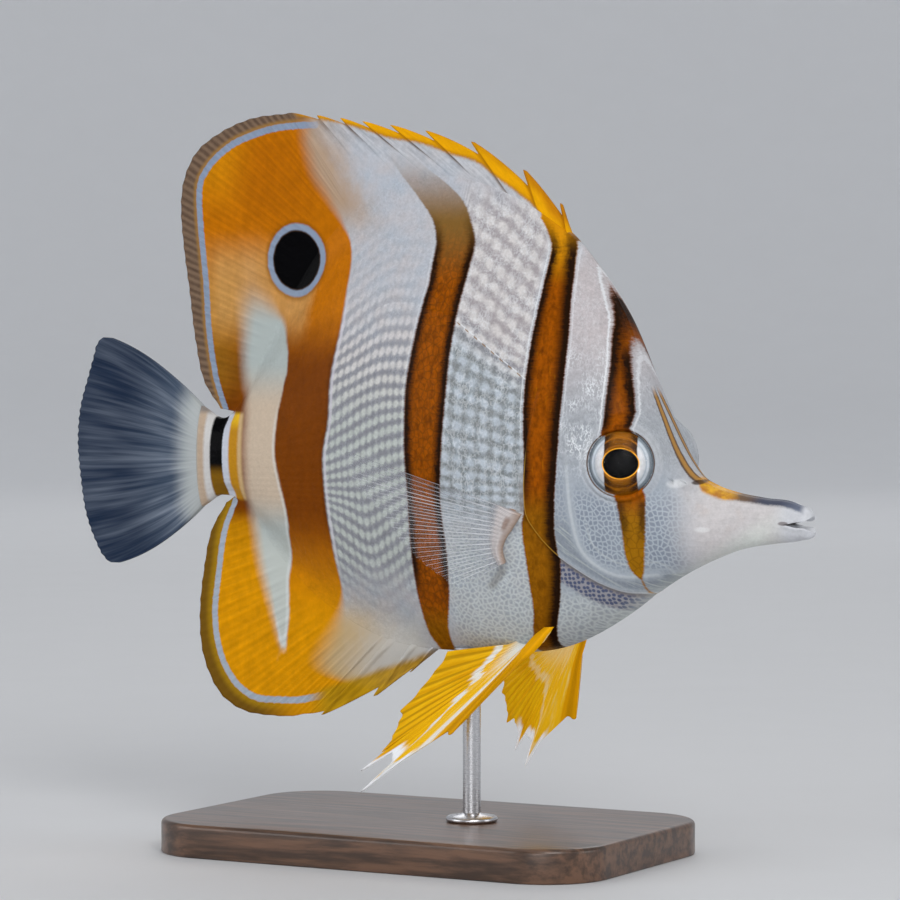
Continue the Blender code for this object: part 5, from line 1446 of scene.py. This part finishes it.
class FISH_OT_dorsal(bpy.types.Operator):
    """Dorsal fin: nine spines with notched membranes, then the tall soft part"""

    bl_idname = "fish.dorsal"
    bl_label = "Dorsal fin"

    def execute(self, context):
        spine_x = np.linspace(DORSAL_FIRST_X, DORSAL_LAST_SPINE_X, len(DORSAL_SPINE_TIPS))
        spine_roots = fin_root(back, spine_x, 1, FIN_SUNK)
        roots, tips, offset, spine_phase = spine_columns(
            spine_roots, np.array(DORSAL_SPINE_TIPS), DORSAL_NOTCHES, SPINE_COLUMNS
        )
        soft_roots, soft_tips, phase = soft_columns(
            back, DORSAL_LAST_SPINE_X - 0.75, DORSAL_SOFT_END_X, 1, DORSAL_MARGIN, DORSAL_SOFT_RAYS
        )
        roots = np.concatenate([roots, soft_roots])
        tips = np.concatenate([tips, soft_tips])
        phases = np.concatenate([spine_phase, phase + len(spine_x)])
        thickness = spined_thickness(back_edge(roots[:, 0]), offset, phase, 0.62, 0.4, 0.85)
        sheet = median_sheet(roots, tips, 90, thickness)
        material = fin_finish("dorsal_finish", True)
        nodes = ("dorsal_spines", "dorsal_rays")
        median_fin("dorsal_fin", sheet, phases, BLUE_DORSAL, material, "fin_gold", *nodes)
        return {"FINISHED"}


def soft_columns(curve, first_x, end_x, out, margin, rays, fine=9):
    """Columns of a soft fin: roots on the flesh's edge, tips on the margin, and the rays' phase."""
    shares = np.linspace(0, 1, (rays - 1) * fine + 1)
    places = np.linspace(first_x, end_x, 24)
    edge = along(np.stack([places, curve(places)], axis=-1))
    roots = fin_root(curve, edge(shares**SOFT_FAN)[:, 0], out, FIN_SUNK)
    tips = along(margin)(shares)
    phase = shares * (rays - 1)
    dip = 0.5 - 0.5 * np.cos(2 * math.pi * phase)
    inward = (roots - tips) / np.linalg.norm(roots - tips, axis=1)[:, None]
    return roots, tips + inward * (0.14 * dip)[:, None], phase


class FISH_OT_anal(bpy.types.Operator):
    """Anal fin: three spines and its soft rays"""

    bl_idname = "fish.anal"
    bl_label = "Anal fin"

    def execute(self, context):
        spine_roots = fin_root(belly, np.array(ANAL_SPINE_ROOTS_X), -1, FIN_SUNK)
        soft_roots, soft_tips, phase = soft_columns(
            belly, ANAL_SOFT_FIRST_X, ANAL_SOFT_END_X, -1, ANAL_MARGIN, ANAL_SOFT_RAYS
        )
        roots = np.concatenate([spine_roots, soft_roots[:1]])
        tips = np.concatenate([np.array(ANAL_SPINE_TIPS), soft_tips[:1]])
        roots, tips, offset, spine_phase = spine_columns(roots, tips, ANAL_NOTCHES, SPINE_COLUMNS)
        roots = np.concatenate([roots[:-1], soft_roots])
        tips = np.concatenate([tips[:-1], soft_tips])
        phases = np.concatenate([spine_phase[:-1], phase + 3])
        thickness = spined_thickness(belly_edge(roots[:, 0]), offset[:-1], phase, 0.6, 0.0, 0.2)
        sheet = median_sheet(roots, tips, 70, thickness)
        material = fin_finish("anal_finish", False)
        median_fin("anal_fin_skin", sheet, phases, BLUE_ANAL, material, "fin_gold", "anal_fin")
        return {"FINISHED"}


class FISH_OT_caudal(bpy.types.Operator):
    """Tail fin: a see-through fan of rays"""

    bl_idname = "fish.caudal"
    bl_label = "Tail fin"

    def execute(self, context):
        shares = np.linspace(0, 1, (CAUDAL_RAYS - 1) * 12 + 1)
        top, bottom = float(back(TAIL_X)), float(belly(TAIL_X))
        height = top - 0.1 + (bottom - top + 0.2) * shares
        roots = np.stack([np.full(len(shares), TAIL_X + 0.15), height], axis=-1)
        phase = shares * (CAUDAL_RAYS - 1)
        dip = 0.5 - 0.5 * np.cos(4 * math.pi * phase)
        tips = along(CAUDAL_MARGIN)(shares)
        tips[:, 0] += 0.18 * dip
        flesh_half = half_width(np.full(len(shares), TAIL_X), height)[:, None]
        rise_of_ray = context.scene.fish_sizes.ray_rise

        def thickness(v):
            start = flesh_half * np.ones(len(v))[None, :]
            thin = 0.22 + (start - 0.22) * (1 - rise(v, 0.0, 0.45))[None, :] ** 1.3
            return thin + soft_rays(phase, v, 0.3) * rise_of_ray * 0.6 * rise(v, 0.1, 0.4)[None, :]

        def bow(share):
            return np.stack([np.zeros(len(share)), CAUDAL_BOW * (1 - 2 * share)], axis=-1)

        sheet = median_sheet(roots, tips, 80, thickness, bow)
        median_fin("caudal_fin_skin", sheet, phase, None, tail_finish(), "fin_clear", "caudal_fin")
        return {"FINISHED"}


def bent_fin(name, grid, halves, phase, v, material, node):
    """A closed fin round a bent middle surface, its faces parallel at the root."""
    normal = np.cross(np.gradient(grid, axis=0), np.gradient(grid, axis=1))
    normal /= np.linalg.norm(normal, axis=2)[:, :, None] + 1e-9
    at_root = np.cross(grid[-1, 0] - grid[0, 0], grid[:, -1].mean(axis=0) - grid[:, 0].mean(axis=0))
    at_root /= np.linalg.norm(at_root)
    share = rise(v, 0.05, 0.45)[None, :, None]
    normal = at_root * (1 - share) + normal * share
    normal /= np.linalg.norm(normal, axis=2)[:, :, None]
    points, faces = closed_sheet(grid + normal * halves[:, :, None], grid - normal * halves[:, :, None])
    rays = np.repeat(phase[:, None], len(v), axis=1).ravel()
    shares = np.repeat(v[None, :], len(phase), axis=0).ravel()
    outward = np.full(len(rays), np.sign(normal[..., 1].mean() * grid[..., 1].mean()))
    plus = np.stack([rays, shares, outward], axis=-1)
    minus = np.stack([rays, shares, -outward], axis=-1)
    fin = build(name, points, faces, material, {"fin": np.concatenate([plus, minus])})
    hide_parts(node)
    return fin


class FISH_OT_pectorals(bpy.types.Operator):
    """Pectoral fins: clear fans of fine rays from fleshy roots"""

    bl_idname = "fish.pectorals"
    bl_label = "Pectoral fins"

    def execute(self, context):
        material = pectoral_finish()
        for letter, side in SIDES:
            shares = np.linspace(0, 1, (PECTORAL_RAYS - 1) * 14 + 1)
            phase = shares * (PECTORAL_RAYS - 1)
            v = np.linspace(0, 1, 70)
            roots, tips = along(PECTORAL_ROOT)(shares), along(PECTORAL_TIPS)(shares)
            dip = 0.5 - 0.5 * np.cos(2 * math.pi * phase)
            tips = tips + (roots - tips) * (0.02 * dip)[:, None]
            plane = fan(roots, tips, v)
            x, z = plane[..., 0], plane[..., 1]
            run = np.linalg.norm(tips - roots, axis=1)[:, None]
            out = np.maximum(0, v[None, :] - PECTORAL_FLAT) * run * PECTORAL_SPLAY
            fleshy = 0.85 * (1 - rise(v, 0.02, 0.17)) + 0.10
            lift = half_width(x, z) + GAP + fleshy[None, :] * 0.8 + out
            lift = lift - (1 - rise(v, 0.0, 0.06))[None, :] * 0.9
            grid = np.stack([x, side * lift, z], axis=-1)
            halves = fleshy[None, :] + soft_rays(phase, v, 0.4) * 0.10 * rise(v, 0.02, 0.2)[None, :]
            name = "pectoral_fin_" + letter
            bent_fin("pectoral_skin_" + letter, grid, halves, phase, v, material, name)
        return {"FINISHED"}


class FISH_OT_pelvics(bpy.types.Operator):
    """Pelvic fins: a strong spine, five rays and two white filaments"""

    bl_idname = "fish.pelvics"
    bl_label = "Pelvic fins"

    def execute(self, context):
        material = pelvic_finish()
        for letter, side in SIDES:
            tips = np.array([(x, side * y, z) for x, y, z in PELVIC_TIPS[letter]])
            places = np.linspace(*PELVIC_ROOT, len(tips))
            roots = np.stack(
                [places[:, 0], side * places[:, 1], belly_height(places[:, 0], places[:, 1])], axis=-1
            )
            inward = np.array([0.5, -0.2 * side, 0.85]) * 1.6
            steps = np.linspace(0, 1, 33)[:-1]
            column_roots, column_tips, phase = [], [], []
            for i in range(len(tips) - 1):
                for share in steps:
                    root = roots[i] + (roots[i + 1] - roots[i]) * share
                    tip = tips[i] + (tips[i + 1] - tips[i]) * share
                    web = PELVIC_NOTCHES[i] * float(rise(min(share, 1 - share), 0.0, 0.22))
                    web += 0.012 * abs(math.sin(3 * math.pi * share)) * (i > 1)
                    column_roots.append(root)
                    column_tips.append(tip + (root - tip) * web)
                    phase.append(i + share)
            column_roots.append(roots[-1])
            column_tips.append(tips[-1])
            phase.append(float(len(tips) - 1))
            column_roots, column_tips = np.array(column_roots) + inward, np.array(column_tips)
            phase = np.array(phase)
            v = np.linspace(0, 1, 80)
            grid = fan(column_roots, column_tips, v)
            thick = 0.20 + 0.45 * (1 - v) ** 1.2
            near = np.abs(phase - np.round(phase))
            main = np.exp(-((near / 0.13) ** 2))[:, None] * 0.16 * (1 - 0.6 * v)[None, :]
            spine = np.exp(-((phase / 0.16) ** 2))[:, None] * 0.42 * (1 - v)[None, :]
            fine = (0.5 + 0.5 * np.cos(8 * math.pi * phase))[:, None] * 0.05 * rise(v, 0.1, 0.3)[None, :]
            halves = thick[None, :] + (main + spine) * rise(v, 0.05, 0.2)[None, :] + fine
            halves = halves * (1 - 0.55 * rise(v, 0.85, 1.0))[None, :]
            name = "pelvic_fin_" + letter
            bent_fin("pelvic_skin_" + letter, grid, halves, phase, v, material, name)
        return {"FINISHED"}


def turned(profile, place_x, sides):
    """Points and faces of a solid of revolution about an upright line, from radius and height pairs."""
    turn = np.linspace(0, 2 * math.pi, sides, endpoint=False)
    points = [(place_x + r * math.cos(t), r * math.sin(t), z) for r, z in profile for t in turn]
    return points, ring_faces(len(profile), sides)


def wood_finish():
    """Dark stained wood with fine grain under satin lacquer."""
    settings = bpy.context.scene.fish_stage
    f = Finish("wood_finish", Coat_Weight=0.35, Coat_Roughness=0.22)
    warp = f.noise(f.stretch(0.02, 0.05, 0.05), 1.0, 3.0)
    rings = f.node("ShaderNodeTexNoise", None, {
        "Vector": f.vector(f.x * 0.035, f.y * 0.55 + warp * 2.0, f.z * 0.5), "Scale": 1.0, "Detail": 6.0,
        "Roughness": 0.62})
    pores = f.noise(f.stretch(0.12, 2.4, 2.4), 1.6, 2.0, 0.7)
    base = f.mix(rings.step(0.35, 0.66), f.shade(settings.wood, 0.55), f.shade(settings.wood, 1.9))
    base = f.mix(pores.step(0.45, 0.95) * 0.6, base, f.shade(settings.wood, 0.35))
    height = rings * 0.03 - pores.step(0.45, 0.95) * 0.03
    return f.wear(Base_Color=base, Roughness=0.36 + pores * 0.06, Normal=f.bump(height, 0.5))


def steel_finish():
    """Steel brushed round its length."""
    settings = bpy.context.scene.fish_stage
    f = Finish("steel_finish", Metallic=1.0)
    brush = f.noise(f.stretch(0.4, 0.4, 14.0), 1.2, 3.0, 0.7)
    base = f.mix(brush.step(-1.0, 1.0), f.shade(settings.steel, 0.86), f.shade(settings.steel, 1.1))
    return f.wear(Base_Color=base, Roughness=0.27 + brush * 0.07, Normal=f.bump(brush * 0.002, 0.3))


class FISH_OT_stand(bpy.types.Operator):
    """The stand: a wooden base with rounded corners and a steel rod with a saddle"""

    bl_idname = "fish.stand"
    bl_label = "Stand"

    def execute(self, context):
        floor = -AXIS_HEIGHT
        tall = BASE_TOP - floor
        bevel = [
            (BASE_BEVEL * (1 - math.cos(a)), tall - BASE_BEVEL * (1 - math.sin(a)))
            for a in np.linspace(0, math.pi / 2, 9)
        ]
        profile = [(8.0, 0.0), (0.35, 0.0), (0.1, 0.1), (0.0, 0.35), *bevel, (9.0, tall)]
        outline = []
        for i in range(4):
            centre_x = (BASE_SIZE[0] / 2 - BASE_CORNER) * (1 if i in (0, 3) else -1)
            centre_y = (BASE_SIZE[1] / 2 - BASE_CORNER) * (1 if i < 2 else -1)
            for k in range(33):
                turn = math.radians(90 * i + 90 * k / 32)
                outline.append((centre_x, centre_y, math.cos(turn), math.sin(turn)))
        points = [
            (cx + (BASE_CORNER - inset) * c, cy + (BASE_CORNER - inset) * s, floor + z)
            for inset, z in profile for cx, cy, c, s in outline
        ]
        faces = ring_faces(len(profile), len(outline))
        base = build("stand_base_wood", points, faces, wood_finish(), None)
        base.data.set_sharp_from_angle(angle=math.radians(50))
        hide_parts("stand_base")

        saddle = float(belly(ROD_X))
        collar = BASE_TOP
        profile = [
            (ROD_RADIUS, BASE_TOP - 3.0), (ROD_RADIUS, collar), (COLLAR_RADIUS - 0.3, collar + 0.02),
            (COLLAR_RADIUS, collar + 0.3), (COLLAR_RADIUS, collar + 0.7), (COLLAR_RADIUS - 0.3, collar + 1.0),
            (ROD_RADIUS + 0.5, collar + 1.35), (ROD_RADIUS, collar + COLLAR_HEIGHT),
            (ROD_RADIUS, saddle - SADDLE_HEIGHT),
            *[(ROD_RADIUS + (SADDLE_RADIUS - ROD_RADIUS) * float(rise(t, 0, 1)),
               saddle - SADDLE_HEIGHT * (1 - t * 0.85)) for t in np.linspace(0.05, 1, 14)],
            (SADDLE_RADIUS, saddle + 0.6),
        ]
        points, faces = turned(profile, ROD_X, 96)
        rod = build("stand_rod_steel", points, faces, steel_finish(), None)
        rod.data.set_sharp_from_angle(angle=math.radians(50))
        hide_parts("stand_rod")
        return {"FINISHED"}


def floor_finish():
    """Pale matt floor that rises into its own backdrop, painted lighter away from the stand as painted light.
    """
    settings = bpy.context.scene.fish_stage
    f = Finish("floor_finish", Roughness=0.6, Specular_IOR_Level=0.2)
    far = ((f.x * f.x + f.y * f.y) ** 0.5).step(700.0, 1700.0)
    grain = f.noise(f.place, 0.05, 3.0)
    # The floor is painted lighter with distance from the stand, as painted light that makes up for the lamps'
    # fall-off
    base = f.shade(settings.floor, 1.0 + far * settings.backdrop_painted_light + grain * 0.012)
    return f.wear(Base_Color=base)


def area_light(name, place, target, width, height, watts, tint):
    light = bpy.data.lights.new(name, "AREA")
    light.shape = "RECTANGLE"
    light.size = width
    light.size_y = height
    light.energy = watts
    light.color = tint
    lamp = bpy.data.objects.new(name, light)
    lamp.location = place
    lamp.rotation_euler = (Vector(place) - Vector(target)).to_track_quat("Z", "Y").to_euler()
    lamp.visible_camera = False
    bpy.context.scene.collection.objects.link(lamp)


class FISH_OT_stage(bpy.types.Operator):
    """Floor, soft lights and the camera at the photo's angle"""

    bl_idname = "fish.stage"
    bl_label = "Stage"

    def execute(self, context):
        scene = context.scene
        profile = [(0.02, 0.0)] + [(r, 0.0) for r in np.linspace(0.2, FLOOR_FLAT, 14)]
        for turn in np.linspace(0.05, math.pi / 2, 24):
            profile.append((FLOOR_FLAT + FLOOR_BEND * math.sin(turn), FLOOR_BEND * (1 - math.cos(turn))))
        profile += [(FLOOR_FLAT + FLOOR_BEND, 1.4), (FLOOR_FLAT + FLOOR_BEND, FLOOR_TOP)]
        points, faces = turned(profile, 0.0, 128)
        mesh = bpy.data.meshes.new("floor")
        mesh.from_pydata(points, [], faces[:-1])
        mesh.shade_smooth()
        mesh.materials.append(floor_finish())
        floor = bpy.data.objects.new("floor", mesh)
        scene.collection.objects.link(floor)

        world = bpy.data.worlds.new("studio")
        world.use_nodes = True
        sky = world.node_tree.nodes["Background"]
        sky.inputs["Color"].default_value = (0.95, 0.975, 1.0, 1.0)
        sky.inputs["Strength"].default_value = 0.20
        scene.world = world
        for name, place, target, width, height, share, tint in LIGHTS:
            area_light(name, place, target, width, height, scene.fish_stage.key * share, tint)

        level = math.cos(VIEW_UP)
        back_way = Vector((
            math.sin(VIEW_ROUND) * level, -math.cos(VIEW_ROUND) * level, math.sin(VIEW_UP)
        ))
        lens = bpy.data.cameras.new("camera")
        lens.lens = VIEW_LENS
        lens.sensor_width = 36.0
        lens.clip_start = 0.01
        camera = bpy.data.objects.new("camera", lens)
        camera.location = Vector(VIEW_TARGET) + back_way * VIEW_DISTANCE
        camera.rotation_euler = back_way.to_track_quat("Z", "Y").to_euler()
        scene.collection.objects.link(camera)
        scene.camera = camera
        scene.view_settings.view_transform = "Standard"
        return {"FINISHED"}


OPERATORS = (
    FISH_OT_stage, FISH_OT_skin, FISH_OT_eyes, FISH_OT_dorsal, FISH_OT_anal, FISH_OT_caudal,
    FISH_OT_pectorals, FISH_OT_pelvics, FISH_OT_stand,
)


class FISH_PT_panel(bpy.types.Panel):
    """Lists the fish's pieces with their colours and sizes"""

    bl_idname = "FISH_PT_panel"
    bl_label = "Copperband butterflyfish"
    bl_space_type = "VIEW_3D"
    bl_region_type = "UI"
    bl_category = "Fish"

    def draw(self, context):
        for group in (context.scene.fish_colours, context.scene.fish_sizes, context.scene.fish_stage):
            box = self.layout.box()
            for name in group.bl_rna.properties.keys():
                if name not in ("rna_type", "name"):
                    box.prop(group, name)
        for operator in OPERATORS:
            self.layout.operator(operator.bl_idname)


CLASSES = (FishColours, FishSizes, StageSettings, *OPERATORS, FISH_PT_panel)


def register():
    for cls in CLASSES:
        bpy.utils.register_class(cls)
    bpy.types.Scene.fish_colours = bpy.props.PointerProperty(type=FishColours)
    bpy.types.Scene.fish_sizes = bpy.props.PointerProperty(type=FishSizes)
    bpy.types.Scene.fish_stage = bpy.props.PointerProperty(type=StageSettings)


def unregister():
    del bpy.types.Scene.fish_stage
    del bpy.types.Scene.fish_sizes
    del bpy.types.Scene.fish_colours
    for cls in reversed(CLASSES):
        bpy.utils.unregister_class(cls)


def main():
    register()
    for operator in OPERATORS:
        family, name = operator.bl_idname.split(".")
        getattr(getattr(bpy.ops, family), name)()
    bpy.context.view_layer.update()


if __name__ == "__main__":
    main()
